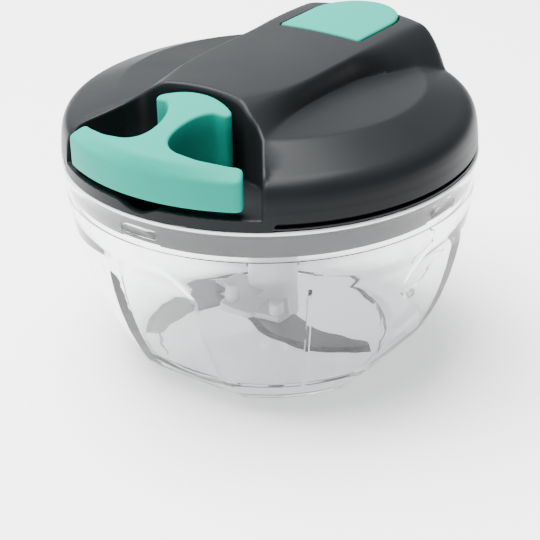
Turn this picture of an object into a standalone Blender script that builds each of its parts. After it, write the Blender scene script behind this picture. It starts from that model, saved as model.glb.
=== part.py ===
# Food chopper with a pull cord, in metres, +Z up, origin at the middle of the base.
# The pull handle and its cord leave the lid toward -Y.
import math
import bpy
import bmesh
from mathutils import Vector
from mathutils.geometry import delaunay_2d_cdt

MM = 0.001
TAU = 2.0 * math.pi

# The driving sizes, in millimetres, heights above the table
OUTER_R = 65.0
RIM_Z = 68.0
BASE_R = 43.9
SIZE = OUTER_R / 65.0
RISE = RIM_Z / 68.0


# Points measured on a chopper of 65 mm radius follow the driving radius.
def wide(values):
    return tuple(v * SIZE for v in values)


def scaled(values, factor):
    return tuple(v * factor for v in values)


# Clearances
GAP = 0.3
SPIGOT_GAP = 0.55
CHANNEL_SIDE = 0.7
CHANNEL_TOP = 0.4
BUTTON_GAP = 0.5
BORE_GAP = 0.4
EMBED = 0.4

# Bowl
BOWL_WALL = 2.7
COLLAR_WALL = 2.45
COLLAR_INNER_R = OUTER_R - COLLAR_WALL
COLLAR_DEPTH = 10.4
BOWL_FLOOR = 3.0
FOOT_WIDTH = 6.0
FOOT_RECESS = 1.0
PIN_R = 1.6
PIN_TOP = 19.0
PIN_BOSS_R = 4.2
PIN_BOSS_TOP = 6.6
LUG_WIDTH = 13.0
LUG_TOP = -4.6
LUG_BOTTOM = -7.2
LUG_DEPTH = 1.2
LUG_INNER_R = COLLAR_INNER_R - LUG_DEPTH
LUG_ANGLES = (-1.0, 89.0, 179.0, 269.0)
FIN_ANGLES = (46.5, 136.5, 226.5, 316.5)
FIN_THICK = 1.2
FIN_DEPTH = 2.6
PANEL_DEPTH = 0.9

# Lid, heights measured from the rim of the bowl
CONE_R = 60.0 * SIZE
CONE_Z = 14.7
CONE_SLOPE = 0.37
DISH_R = 47.3 * SIZE
DISH_Y = 2.0
DISH_SLOPE = 0.06
SPINE_Z = 28.1
SPINE_DROP_Y = 42.0 * SIZE
BACK_DROP = 0.97
CROWN_DROP = 0.88
LID_SHELL = 1.9
LID_WALL = 1.8
LID_INNER_R = OUTER_R - LID_WALL
LID_BOTTOM = 0.3
SLOT_TOP = 2.5
FRONT_HALF_ANGLE = 36.8
LIP_Z = 3.7
DIP_Z = 1.7
DIP_WIDTH = 13.0
POCKET_ANGLE = 35.0
POCKET_WALL = 2.0
WELL_FLOOR = 17.4

# Lower housing
SPIGOT_R = COLLAR_INNER_R - SPIGOT_GAP
SPIGOT_WALL = 2.4
SPIGOT_INNER_R = SPIGOT_R - SPIGOT_WALL
SPIGOT_BOTTOM = -9.1
PLATE_TOP = 0.0
PLATE_BOTTOM = -2.2
UPSTAND_TOP = 2.2
SHAFT_HOLE_R = 5.9
SHAFT_BOSS_R = 9.7
SHAFT_BOSS_BOTTOM = -8.0
SEAL_TOP = -1.4
SEAL_BOTTOM = -2.9
SEAL_WIDTH = 1.05
SEAL_OUTER_R = COLLAR_INNER_R - GAP
SEAL_INNER_R = SEAL_OUTER_R - SEAL_WIDTH
SCREW_INSET = 7.6
SCREW_R = SPIGOT_INNER_R - SCREW_INSET
SCREW_LENGTH = 9.2
SCREW_ANGLES = (70.0, 140.0, 220.0, 290.0)

# Handle and button
GRIP_PROUD = 0.2
GRIP_OUTER_R = OUTER_R + GRIP_PROUD
GRIP_WIDTH = 5.8
GRIP_BOTTOM = 6.0
GRIP_Z = 15.0
GRIP_ANGLE = 29.3
PLUG_Z = 26.0
PLUG_Y = -35.0 * SIZE
PLUG_CROWN = 2.08
KNOT_Y = -41.0 * SIZE
KNOT_R = 2.5
KNOT_HALF = 2.4
CORD_R = 0.9
CORD_Z = 9.0
BUTTON_Y = 44.0 * SIZE
BUTTON_Z = 28.45
BUTTON_BOTTOM = 20.8
BUTTON_BORE_R = 4.6
BUTTON_BORE_TOP = 24.9
COIL_R = 3.4
WIRE_R = 0.35

# Cord drum, heights measured from the rim of the bowl
DRUM_R = 21.5
DRUM_BOTTOM = 4.8
WIND_BOTTOM = 6.1
WIND_TOP = 11.9
DRUM_TOP = 13.2
WIND_OUTER_R = 17.4
WIND_DEPTH = 1.8
WIND_INNER_R = WIND_OUTER_R - WIND_DEPTH
SPRING_WELL_R = WIND_INNER_R - 1.3
SPRING_THICK = 0.4
CAP_R = 16.0
JOURNAL_R = 5.6
JOURNAL_BOTTOM = -9.0
AXLE_R = 2.5
AXLE_BOTTOM = 3.2
AXLE_TOP = 20.6
SHAFT_R = 4.2
SHAFT_BOTTOM = -24.0
SHAFT_TOP = 1.6

# Blade unit
SLEEVE_R = 8.15
SLEEVE_BOTTOM = 8.0
SLEEVE_TOP = 58.0
BORE_BOTTOM = 39.0
BLADE_THICK = 0.9
BLADE_LEVELS = (12.6, 13.2, 32.6)
BLADE_TURNS = (3.0, -98.0, 128.0)
HOLE_LINE_Y = -12.5 * SIZE
HOLES_X = wide((9.2, 3.4))
HOLE_R = 1.85
PEG_R = 1.55
PEG_HEIGHT = 5.4
PEG_TOP_R = 1.7
ARM_HEIGHT = 3.9
CLIP_HEIGHT = 1.3

COLLECTION = "food_chopper"
CUTTERS = "food_chopper_cutters"


def clear_scene():
    for item in list(bpy.data.objects):
        bpy.data.objects.remove(item, do_unlink=True)


def make_collection(name, hidden):
    group = bpy.data.collections.new(name)
    bpy.context.scene.collection.children.link(group)
    group.hide_render = hidden
    return group


clear_scene()
PARTS = make_collection(COLLECTION, False)
TOOLS = make_collection(CUTTERS, True)


def material(name, color, rough, metal, clear):
    made = bpy.data.materials.new(name)
    made.use_nodes = True
    shader = made.node_tree.nodes["Principled BSDF"]
    shader.inputs["Base Color"].default_value = (color[0], color[1], color[2], 1.0)
    shader.inputs["Roughness"].default_value = rough
    shader.inputs["Metallic"].default_value = metal
    shader.inputs["Transmission Weight"].default_value = clear
    made.diffuse_color = (color[0], color[1], color[2], 1.0)
    return made


def add_object(name, mesh, mat, group):
    made = bpy.data.objects.new(name, mesh)
    group.objects.link(made)
    if mat is not None:
        mesh.materials.append(mat)
    if group is TOOLS:
        made.display_type = "WIRE"
        made.hide_render = True
    return made


def smooth_mesh(mesh, degrees):
    for face in mesh.polygons:
        face.use_smooth = True
    mesh.set_sharp_from_angle(angle=math.radians(degrees))


def finish_mesh(name, bm, mat, group, degrees=35.0):
    bmesh.ops.recalc_face_normals(bm, faces=bm.faces)
    mesh = bpy.data.meshes.new(name)
    bm.to_mesh(mesh)
    bm.free()
    smooth_mesh(mesh, degrees)
    return add_object(name, mesh, mat, group)


# Rings of points in millimetres are joined into one closed body.
# A ring with one point closes an end. A loop joins the last ring to the first.
def ring_body(name, rings, mat, group, loop=False, degrees=35.0):
    bm = bmesh.new()
    made = []
    for ring in rings:
        made.append([bm.verts.new((p[0] * MM, p[1] * MM, p[2] * MM)) for p in ring])
    pairs = list(zip(made[:-1], made[1:]))
    if loop:
        pairs.append((made[-1], made[0]))
    for low, high in pairs:
        if len(low) == 1 and len(high) == 1:
            continue
        count = max(len(low), len(high))
        for i in range(count):
            j = (i + 1) % count
            if len(low) == 1:
                bm.faces.new((low[0], high[j], high[i]))
            elif len(high) == 1:
                bm.faces.new((low[i], low[j], high[0]))
            else:
                bm.faces.new((low[i], low[j], high[j], high[i]))
    if not loop:
        if len(made[0]) > 1:
            bm.faces.new(made[0])
        if len(made[-1]) > 1:
            bm.faces.new(made[-1])
    return finish_mesh(name, bm, mat, group, degrees)


def circle(radius, z, segments, x=0.0, y=0.0):
    points = []
    for i in range(segments):
        a = TAU * i / segments
        points.append((x + radius * math.cos(a), y + radius * math.sin(a), z))
    return points


# A turned piece: profile points are radius and height, from the axis or as a loop.
def turned(name, profile, segments, mat, group, loop=False, x=0.0, y=0.0, degrees=35.0):
    rings = []
    for radius, z in profile:
        if radius <= 0.0:
            rings.append([(x, y, z)])
        else:
            rings.append(circle(radius, z, segments, x, y))
    return ring_body(name, rings, mat, group, loop, degrees)


# A flat outline raised between two heights.
def raised(name, outline, low, high, mat, group, degrees=35.0):
    rings = [
        [(p[0], p[1], low) for p in outline],
        [(p[0], p[1], high) for p in outline],
    ]
    return ring_body(name, rings, mat, group, False, degrees)


# A body over a closed outline with a shaped top and a flat bottom. Points inside the
# outline give the top its shape. A top that meets the bottom at the edge has no wall.
def slab(name, outline, points, top, bottom, mat, group, degrees=35.0):
    flat = [Vector((p[0], p[1])) for p in list(outline) + list(points)]
    made, _, faces, _, _, _ = delaunay_2d_cdt(flat, [], [list(range(len(outline)))], 1, 1e-5)
    seen = {}
    for face in faces:
        for i in range(len(face)):
            a, b = face[i], face[(i + 1) % len(face)]
            key = (min(a, b), max(a, b))
            seen[key] = None if key in seen else (a, b)
    follow = dict(pair for pair in seen.values() if pair is not None)
    order = [next(iter(follow))]
    while follow[order[-1]] != order[0]:
        order.append(follow[order[-1]])
    bm = bmesh.new()
    upper = [bm.verts.new((p[0] * MM, p[1] * MM, top(p[0], p[1]) * MM)) for p in made]
    for face in faces:
        bm.faces.new([upper[i] for i in face])
    ring = [upper[i] for i in order]
    if max(v.co.z for v in ring) > bottom * MM + 1e-6:
        low = [bm.verts.new((v.co.x, v.co.y, bottom * MM)) for v in ring]
        for i in range(len(ring)):
            j = (i + 1) % len(ring)
            bm.faces.new((ring[i], ring[j], low[j], low[i]))
        ring = low
    bm.faces.new(ring)
    return finish_mesh(name, bm, mat, group, degrees)


def cut(target, tool, operation="DIFFERENCE"):
    step = target.modifiers.new("cut", "BOOLEAN")
    step.operation = operation
    step.object = tool
    step.solver = "EXACT"


# Moves a piece's origin to a point on its joint's axis, its shape stays where it is.
def place_origin(body, x, y, z):
    for vertex in body.data.vertices:
        vertex.co.x -= x * MM
        vertex.co.y -= y * MM
        vertex.co.z -= z * MM
    body.location = (x * MM, y * MM, z * MM)
    return body


def polar(radius, degrees):
    a = math.radians(degrees)
    return (radius * math.sin(a), -radius * math.cos(a))


# A ring sector standing between two radii, two heights and two angles from -Y.
def sector(name, r0, r1, z0, z1, a0, a1, steps, group, mat=None):
    outline = []
    for i in range(steps + 1):
        outline.append(polar(r1, a0 + (a1 - a0) * i / steps))
    for i in range(steps + 1):
        outline.append(polar(r0, a1 + (a0 - a1) * i / steps))
    return raised(name, outline, z0, z1, mat, group)


def table(x, xs, ys):
    if x <= xs[0]:
        return ys[0]
    for i in range(1, len(xs)):
        if x <= xs[i]:
            t = (x - xs[i - 1]) / (xs[i] - xs[i - 1])
            return ys[i - 1] + (ys[i] - ys[i - 1]) * t
    return ys[-1]


def soft(a, b, x):
    t = min(1.0, max(0.0, (x - a) / (b - a)))
    return t * t * (3.0 - 2.0 * t)


# The lid top: a cone with a rounded shoulder, a raised spine with steep flanks that
# runs from the handle pocket to the back, and a round dish that it stands in.
EDGE_R = wide((58.0, 60.0, 61.2, 62.2, 63.0, 63.6, 64.1, 64.5, 64.8, 65.0))
EDGE_CONE = scaled((15.44, 14.7, 14.1, 13.4, 12.6, 11.6, 10.3, 8.3, 5.0), CONE_Z / 14.7) + (LID_BOTTOM,)
EDGE_SPINE = scaled((27.5, 26.9, 26.0, 24.5, 22.3, 19.6, 16.0, 11.5, 6.0), SPINE_Z / 28.1) + (LID_BOTTOM,)
SPINE_Y = wide((-40.0, -36.0, -32.0, -26.0, -18.0, -8.0, 6.0, 17.0, 23.0, 28.0, 37.0, 45.0, 52.0, 60.0))
SPINE_TOP_X = wide((11.0, 12.0, 13.5, 16.0, 18.8, 20.0, 20.2, 20.2, 20.3, 20.5, 20.5, 20.5, 20.5, 20.5))
SPINE_FOOT_X = wide((26.5, 25.8, 25.0, 24.0, 23.0, 22.6, 22.6, 22.5, 24.4, 27.4, 31.0, 32.5, 33.0, 33.0))
SPINE_FALL = scaled(
    (6.5, 6.5, 6.4, 6.3, 6.3, 6.3, 6.3, 6.4, 6.8, 7.3, 8.5, 10.2, 11.0, 11.5), SPINE_Z / 28.1)
SPINE_BEND = (1.4, 1.4, 1.55, 1.8, 2.1, 2.2, 2.2, 2.2, 2.0, 1.9, 1.8, 1.8, 1.8, 1.8)


def spine_height(x, y):
    back = max(0.0, y - SPINE_DROP_Y) / (18.0 * SIZE)
    return SPINE_Z - CROWN_DROP * (x / (20.0 * SIZE)) ** 2 - BACK_DROP * back * back


def lid_height(x, y):
    r = math.hypot(x, y)
    if r >= EDGE_R[-1] - 1e-4:
        return LID_BOTTOM
    if r < EDGE_R[0]:
        low = CONE_Z + (CONE_R - r) * CONE_SLOPE
        high = spine_height(x, y)
        into = DISH_R - math.hypot(x, y - DISH_Y)
        if into > 0.0:
            low += into * (DISH_SLOPE - CONE_SLOPE)
    else:
        low = table(r, EDGE_R, EDGE_CONE)
        at_edge = spine_height(x * EDGE_R[0] / r, y * EDGE_R[0] / r)
        high = table(r, EDGE_R, EDGE_SPINE) * (at_edge / EDGE_SPINE[0])
    top_x = table(y, SPINE_Y, SPINE_TOP_X)
    foot_x = table(y, SPINE_Y, SPINE_FOOT_X)
    down = max(0.0, (abs(x) - top_x) / (foot_x - top_x))
    flank = high - table(y, SPINE_Y, SPINE_FALL) * down ** table(y, SPINE_Y, SPINE_BEND)
    return max(low, flank, LID_BOTTOM)


# The inside follows the lowest outer point nearby, so the flanks keep their thickness.
def lid_under(x, y):
    best = lid_height(x, y)
    for reach in (0.6 * LID_SHELL, LID_SHELL):
        for i in range(12):
            a = TAU * i / 12.0
            px = x + reach * math.cos(a)
            py = y + reach * math.sin(a)
            best = min(best, lid_height(px, py))
    return max(1.0, best - LID_SHELL)


def flank_x(part, y):
    top_x = table(y, SPINE_Y, SPINE_TOP_X)
    return top_x + (table(y, SPINE_Y, SPINE_FOOT_X) - top_x) * part


# Plan points of the lid: rows along the flanks of the spine, a row around the dish
# and rings around the middle, leaving out those that come too near to a row.
def lid_plan(radii, segments, parts, step, inset, near):
    rows = []
    for part in parts:
        y = -38.0 * SIZE
        while y < EDGE_R[0]:
            x = flank_x(part, y) - inset
            if math.hypot(x, y) < min(EDGE_R[0] - 1.2, radii[-1] - 3.0):
                rows += [(x, y), (-x, y)]
            y += step * SIZE
        for r in radii[:-1]:
            if r >= EDGE_R[0]:
                y = 0.85 * r
                for i in range(8):
                    x = flank_x(part, y) - inset
                    y = math.sqrt(r * r - x * x)
                rows += [(x, y), (-x, y)]
    for i in range(60):
        a = TAU * i / 60.0
        x = (DISH_R - inset) * math.cos(a)
        y = DISH_Y + (DISH_R - inset) * math.sin(a)
        if abs(x) > flank_x(1.0, y) + 1.5:
            rows.append((x, y))
    points = list(rows)
    for k, r in enumerate(radii[:-1]):
        count = segments if r >= 0.85 * OUTER_R else max(8, int(segments * r / (0.85 * OUTER_R)))
        for i in range(count):
            x, y = polar(r, 360.0 * i / count)
            limit = near if r < EDGE_R[0] else 0.4 * near
            if min(math.hypot(x - p[0], y - p[1]) for p in rows) > limit * SIZE:
                points.append((x, y))
    return points


# Plan of the handle pocket, widened outward by the given amount.
def pocket_outline(grow):
    half = []
    arch = ((0.0, -31.0), (6.0, -31.3), (11.0, -32.2), (15.0, -33.6), (18.6, -35.2))
    for x, y in arch:
        half.append((x * SIZE, y * SIZE + grow))
    corner = ((22.4, -36.2), (25.6, -38.6))
    for x, y in corner:
        half.append((x * SIZE + 0.6 * grow, y * SIZE + 0.8 * grow))
    edge = polar(72.0 * SIZE, POCKET_ANGLE)
    side = math.radians(POCKET_ANGLE)
    half.append((edge[0] + grow * math.cos(side), edge[1] + grow * math.sin(side)))
    half.append((edge[0] + grow * math.cos(side), -82.0 * SIZE))
    left = [(-x, y) for x, y in half[1:]]
    left.reverse()
    return left + half


def button_outline(grow):
    front = 27.9 * SIZE - grow
    wing = 15.2 * SIZE + grow
    points = [(-wing, front + 0.7), (-wing + 0.7, front), (wing - 0.7, front), (wing, front + 0.7)]
    for i in range(17):
        a = math.pi * i / 16.0
        points.append((wing * math.cos(a), 46.0 * SIZE + (16.6 * SIZE + grow) * math.sin(a)))
    return points


def lid_cover(mat):
    z = RIM_Z
    low = z - 4.0
    high = z + SPINE_Z + 15.0
    radii = wide((12.0, 30.0, 38.0, 52.0, 55.0)) + EDGE_R
    plan = lid_plan(radii, 64, (0.0, 0.45, 0.75, 1.0), 5.0, 0.0, 3.6)
    cover = slab(
        "lid_cover", ring_of(OUTER_R, 64), plan, lambda x, y: z + lid_height(x, y), z + LID_BOTTOM,
        mat, PARTS, 40.0)
    radii = wide((12.0, 30.0, 40.0, 50.0, 56.0, 60.0)) + (LID_INNER_R,)
    plan = lid_plan(radii, 40, (0.0, 0.55, 1.0), 8.0, LID_SHELL, 4.5)
    hollow = slab(
        "lid_hollow", ring_of(LID_INNER_R, 40), plan, lambda x, y: z + lid_under(x, y), z - 2.0,
        None, TOOLS)
    cut(hollow, raised("pocket_block", pocket_outline(POCKET_WALL), low, high, None, TOOLS))
    well = raised(
        "well_block", button_outline(BUTTON_GAP + 1.6), z + WELL_FLOOR - LID_SHELL, high, None, TOOLS)
    cut(hollow, well)
    boss_r = AXLE_R + 3.5
    cut(hollow, turned("axle_boss", [(boss_r, z + AXLE_TOP - 6.0), (boss_r, high)], 24, None, TOOLS))
    for i, angle in enumerate(SCREW_ANGLES):
        x, y = polar(SCREW_R, angle)
        profile = [(0.0, z + 0.35), (3.6, z + 0.35), (3.6, high), (0.0, high)]
        cut(hollow, turned("post_%d" % (i + 1), profile, 16, None, TOOLS, False, x, y))
    cut(cover, hollow)
    cut(cover, raised("pocket", pocket_outline(0.0), z + LIP_Z, high, None, TOOLS))
    cut(cover, finger_dip())
    slot = sector(
        "skirt_slot", SPIGOT_R, OUTER_R + 3.0, z - 3.0, z + SLOT_TOP,
        FRONT_HALF_ANGLE, 360.0 - FRONT_HALF_ANGLE, 48, TOOLS)
    cut(cover, slot)
    cut(cover, raised("button_well", button_outline(BUTTON_GAP), z + WELL_FLOOR, high, None, TOOLS))
    bore = turned(
        "axle_bore", [(AXLE_R, z + AXLE_TOP - 10.0), (AXLE_R, z + AXLE_TOP + 0.4)], 20, None, TOOLS)
    cut(cover, bore)
    top = z + SCREW_LENGTH - 0.2
    for i, angle in enumerate(SCREW_ANGLES):
        x, y = polar(SCREW_R, angle)
        profile = [(0.0, z - 1.0), (1.35, z - 1.0), (1.35, top), (0.0, top)]
        cut(cover, turned("post_hole_%d" % (i + 1), profile, 12, None, TOOLS, False, x, y))
    cut(cover, tube_y("eyelet_hole", 2.6, -34.0 * SIZE, -26.0 * SIZE, z + CORD_Z, 16, None, TOOLS))
    return cover


# A dip in the front lip where a fingertip reaches under the grip.
def finger_dip():
    half = DIP_WIDTH / 2.0
    above = LIP_Z + 2.0
    dip = ((-half, above), (-half, LIP_Z), (-half + 2.6, DIP_Z + 0.3), (-1.5, DIP_Z),
           (1.5, DIP_Z), (half - 2.6, DIP_Z + 0.3), (half, LIP_Z), (half, above))
    rings = [
        [(x, -OUTER_R + 5.5, RIM_Z + z) for x, z in dip],
        [(x, -OUTER_R - 5.0, RIM_Z + z) for x, z in dip],
    ]
    return ring_body("finger_dip", rings, None, TOOLS)


# A round bar along Y between two positions.
def tube_y(name, radius, y0, y1, z, segments, mat, group, x=0.0):
    rings = []
    for y in (y0, y1):
        ring = []
        for i in range(segments):
            a = TAU * i / segments
            ring.append((x + radius * math.cos(a), y, z + radius * math.sin(a)))
        rings.append(ring)
    return ring_body(name, rings, mat, group)


def lid_base(mat):
    z = RIM_Z
    upstand = LID_INNER_R - 0.4
    profile = [
        (SHAFT_HOLE_R, z + PLATE_TOP), (SPIGOT_INNER_R + 0.8, z + PLATE_TOP),
        (SPIGOT_INNER_R + 0.8, z + UPSTAND_TOP), (upstand, z + UPSTAND_TOP),
        (upstand, z + 0.95), (OUTER_R - GAP, z + 0.95), (OUTER_R - GAP, z + 0.25), (SPIGOT_R, z + 0.25),
        (SPIGOT_R, z + SEAL_TOP + 0.15), (SEAL_INNER_R - 0.2, z + SEAL_TOP + 0.15),
        (SEAL_INNER_R - 0.2, z + SEAL_BOTTOM - 0.15), (SPIGOT_R, z + SEAL_BOTTOM - 0.15),
        (SPIGOT_R, z + SPIGOT_BOTTOM + 0.5), (SPIGOT_R - 0.5, z + SPIGOT_BOTTOM),
        (SPIGOT_INNER_R, z + SPIGOT_BOTTOM), (SPIGOT_INNER_R, z + PLATE_BOTTOM),
        (SHAFT_BOSS_R, z + PLATE_BOTTOM), (SHAFT_BOSS_R - 0.4, z + SHAFT_BOSS_BOTTOM),
        (SHAFT_HOLE_R, z + SHAFT_BOSS_BOTTOM),
    ]
    base = turned("lid_base", profile, 48, mat, PARTS, True)
    front = sector("front_relief", SCREW_R + 4.0, OUTER_R + 3.0, z - 0.12, z + 6.0, -37.6, 37.6, 24, TOOLS)
    cut(base, front)
    for i, angle in enumerate(LUG_ANGLES):
        half = math.degrees((LUG_WIDTH / 2.0 + CHANNEL_SIDE) / SPIGOT_R)
        channel = sector(
            "lug_channel_%d" % (i + 1), LUG_INNER_R - CHANNEL_TOP, SPIGOT_R + 2.0, z - 12.0,
            z + LUG_TOP + 0.5, angle - half, angle + half, 6, TOOLS)
        cut(base, channel)
    for i, angle in enumerate(SCREW_ANGLES):
        x, y = polar(SCREW_R, angle)
        profile = [
            (0.0, z - 4.0), (3.3, z - 4.0), (3.3, z - 0.9), (1.75, z - 0.9), (1.75, z + 2.0), (0.0, z + 2.0)]
        cut(base, turned("base_hole_%d" % (i + 1), profile, 16, None, TOOLS, False, x, y))
    return base


def lid_seal(mat):
    z = RIM_Z
    profile = [
        (SEAL_INNER_R, z + SEAL_TOP), (SEAL_OUTER_R - GAP, z + SEAL_TOP), (SEAL_OUTER_R, z + SEAL_TOP - 0.35),
        (SEAL_OUTER_R, z + SEAL_BOTTOM + 0.35), (SEAL_OUTER_R - GAP, z + SEAL_BOTTOM), (SEAL_INNER_R, z + SEAL_BOTTOM)]
    return turned("lid_seal", profile, 48, mat, PARTS, True)


def cover_screw(index, mat):
    x, y = polar(SCREW_R, SCREW_ANGLES[index])
    z = RIM_Z
    profile = [
        (0.0, z - 1.7), (0.9, z - 1.7), (1.3, z - 2.3), (2.7, z - 2.3), (3.0, z - 2.0), (3.0, z - 1.2),
        (1.3, z - 1.2), (1.3, z + SCREW_LENGTH - 1.2), (0.0, z + SCREW_LENGTH - 0.6)]
    return turned("cover_screw_%d" % (index + 1), profile, 10, mat, PARTS, False, x, y)


# Outside of the bowl: four tall arched panels, wider toward the base.
BOWL_Z = scaled((0.0, 1.0, 4.0, 8.0, 14.0, 20.0, 28.0, 36.0, 44.0, 49.0, 52.5, 57.0, 67.6, 68.0), RISE)
BOWL_R = wide((43.0, 44.0, 47.2, 49.6, 52.8, 55.6, 58.5, 60.7, 62.4, 63.2, 63.8, 64.4, 65.0, 64.7))


def arch_panel(angle, z):
    local = (angle + 45.0) % 90.0 - 45.0
    level = z / RISE
    half = 22.5 - 7.5 * min(1.0, level / 45.0)
    fade = 1.0 - soft(49.0, 54.5, level + (abs(local) / 16.0) ** 4 * 3.0)
    side = 1.0 - soft(half - 1.6, half + 1.6, abs(local))
    return fade * side


def bowl(mat):
    segments = 64
    rings = [[(0.0, 0.0, FOOT_RECESS)]]
    for radius, z in ((0.7 * BASE_R, FOOT_RECESS), (BASE_R - FOOT_WIDTH - 0.8, FOOT_RECESS),
                      (BASE_R - FOOT_WIDTH, 0.0)):
        rings.append(ring_of(radius, segments, z))
    for z, r in zip(BOWL_Z, BOWL_R):
        ring = []
        for i in range(segments):
            angle = 360.0 * i / segments
            x, y = polar(r - PANEL_DEPTH * arch_panel(angle, z), angle)
            ring.append((x, y, z))
        rings.append(ring)
    rings.append(ring_of(COLLAR_INNER_R + 0.3, segments, RIM_Z))
    rings.append(ring_of(COLLAR_INNER_R, segments, RIM_Z - 0.4))
    rings.append(ring_of(COLLAR_INNER_R, segments, RIM_Z - COLLAR_DEPTH))
    for z in scaled((57.0, 50.0, 38.0, 26.0, 14.0, 7.0), RISE):
        r = table(z, BOWL_Z, BOWL_R) - BOWL_WALL - 0.5 * (z < 50.0 * RISE)
        rings.append(ring_of(r, segments, z))
    for radius, z in ((BASE_R - 0.9, BOWL_FLOOR + 0.6), (BASE_R - 2.9, BOWL_FLOOR),
                      (0.7 * BASE_R, BOWL_FLOOR), (0.7 * BASE_R - 0.6, BOWL_FLOOR - 0.5),
                      (PIN_BOSS_R + 0.8, BOWL_FLOOR - 0.5), (PIN_BOSS_R, BOWL_FLOOR + 0.2),
                      (PIN_BOSS_R - 0.5, PIN_BOSS_TOP)):
        rings.append(ring_of(radius, segments, z))
    rings.append([(0.0, 0.0, PIN_BOSS_TOP)])
    body = ring_body("bowl", rings, mat, PARTS, False, 32.0)
    for i, angle in enumerate(LUG_ANGLES):
        half = math.degrees(LUG_WIDTH / 2.0 / LUG_INNER_R)
        lug = sector(
            "lug_%d" % (i + 1), LUG_INNER_R, COLLAR_INNER_R + EMBED, RIM_Z + LUG_BOTTOM, RIM_Z + LUG_TOP,
            angle - half, angle + half, 6, TOOLS)
        cut(body, lug, "UNION")
    for i, angle in enumerate(FIN_ANGLES):
        cut(body, fin_tool(i, angle), "UNION")
    profile = [(0.0, 2.1), (PIN_R, 2.1), (PIN_R, PIN_TOP - 7.0), (0.0, PIN_TOP - 7.0)]
    cut(body, turned("pin_hole", profile, 16, None, TOOLS))
    return body


def ring_of(radius, segments, z=0.0):
    return [polar(radius, 360.0 * i / segments) + (z,) for i in range(segments)]


# A thin upright fin on the inside of the bowl wall.
def fin_tool(index, angle):
    outer = []
    inner = []
    for z in scaled((5.0, 10.0, 18.0, 26.0, 34.0, 42.0, 47.0), RISE):
        wall = table(z, BOWL_Z, BOWL_R) - BOWL_WALL
        outer.append((wall + 0.5, z))
        depth = FIN_DEPTH * min(1.0, (47.4 - z / RISE) / 3.0) + 0.2
        inner.append((wall - depth, z))
    inner.reverse()
    loop = outer + inner
    a = math.radians(angle)
    rings = []
    for side in (-0.5, 0.5):
        ring = []
        for r, z in loop:
            x = r * math.sin(a) + side * FIN_THICK * math.cos(a)
            y = -r * math.cos(a) + side * FIN_THICK * math.sin(a)
            ring.append((x, y, z))
        rings.append(ring)
    return ring_body("fin_%d" % (index + 1), rings, None, TOOLS)


def pivot_pin(mat):
    profile = [
        (0.0, 2.2), (PIN_R - 0.02, 2.2), (PIN_R - 0.02, PIN_TOP - 0.7), (PIN_R - 0.6, PIN_TOP),
        (0.0, PIN_TOP)]
    return turned("bowl_pivot_pin", profile, 16, mat, PARTS)


# Height of the handle top: it follows the lid, rising to the plug.
def handle_top(x, y):
    z = PLUG_Z + (y - PLUG_Y) * 0.25 - PLUG_CROWN * (x / (20.0 * SIZE)) ** 2
    r = math.hypot(x, y)
    angle = abs(math.degrees(math.atan2(x, -y)))
    slope = max(0.6, 2.1 - 0.061 * angle)
    return min(z, GRIP_Z + (GRIP_OUTER_R - r) * slope)


def handle_outline():
    plug = ((0.0, -32.0), (4.5, -32.35), (8.5, -33.4), (11.6, -34.7), (13.0, -35.6), (13.6, -36.8),
            (13.0, -37.9), (11.4, -38.3), (8.8, -38.6), (6.6, -40.4), (5.0, -43.0), (4.0, -46.0),
            (3.6, -49.0), (3.8, -52.0), (4.8, -54.6), (6.8, -56.5), (9.4, -57.4), (12.5, -57.4))
    half = [(x * SIZE, y * SIZE) for x, y in plug]
    inner = GRIP_OUTER_R - GRIP_WIDTH
    for radius, angle in ((inner, 17.0), (inner, 21.5), (inner, 26.0), (inner + 0.1, GRIP_ANGLE - 0.8),
                          (inner + 1.0, GRIP_ANGLE), (GRIP_OUTER_R - 1.6, GRIP_ANGLE),
                          (GRIP_OUTER_R - 0.5, GRIP_ANGLE - 0.5), (GRIP_OUTER_R, GRIP_ANGLE - 1.6),
                          (GRIP_OUTER_R, 23.0), (GRIP_OUTER_R, 18.0), (GRIP_OUTER_R, 12.0),
                          (GRIP_OUTER_R, 6.0), (GRIP_OUTER_R, 0.0)):
        half.append(polar(radius, angle))
    left = [(-x, y) for x, y in half[1:-1]]
    left.reverse()
    return half + left


# The bevel line of the grip and the ridge of the plug, where the top changes slope.
def handle_points():
    points = []
    for angle in (-27.0, -22.0, -17.0, -11.0, -5.5, 0.0, 5.5, 11.0, 17.0, 22.0, 27.0):
        reach = 2.0
        while handle_top(*polar(GRIP_OUTER_R - reach, angle)) > (
                GRIP_Z + reach * max(0.6, 2.1 - 0.061 * abs(angle)) - 1e-6) and reach < 5.0:
            reach += 0.1
        points.append(polar(GRIP_OUTER_R - reach, angle))
    for x, y in ((0.0, -36.0), (6.0, -36.0), (-6.0, -36.0), (0.0, -42.0), (0.0, -48.0), (0.0, -54.0),
                 (9.5, -36.5), (-9.5, -36.5), (3.0, -39.0), (-3.0, -39.0), (0.0, -58.0)):
        points.append((x * SIZE, y * SIZE))
    return points


def pull_handle(mat):
    body = slab(
        "pull_handle", handle_outline(), handle_points(), lambda x, y: RIM_Z + handle_top(x, y),
        RIM_Z + GRIP_BOTTOM, mat, PARTS, 40.0)
    z = RIM_Z + CORD_Z
    cut(body, tube_y("cord_passage", CORD_R + 0.35, -28.0 * SIZE, KNOT_Y, z, 12, None, TOOLS))
    profile = [
        (0.0, RIM_Z + GRIP_BOTTOM - 4.0), (KNOT_R + 0.4, RIM_Z + GRIP_BOTTOM - 4.0),
        (KNOT_R + 0.4, z + KNOT_R + 0.2), (0.0, z + KNOT_R + 0.9)]
    cut(body, turned("knot_chamber", profile, 16, None, TOOLS, False, 0.0, KNOT_Y))
    return body


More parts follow.
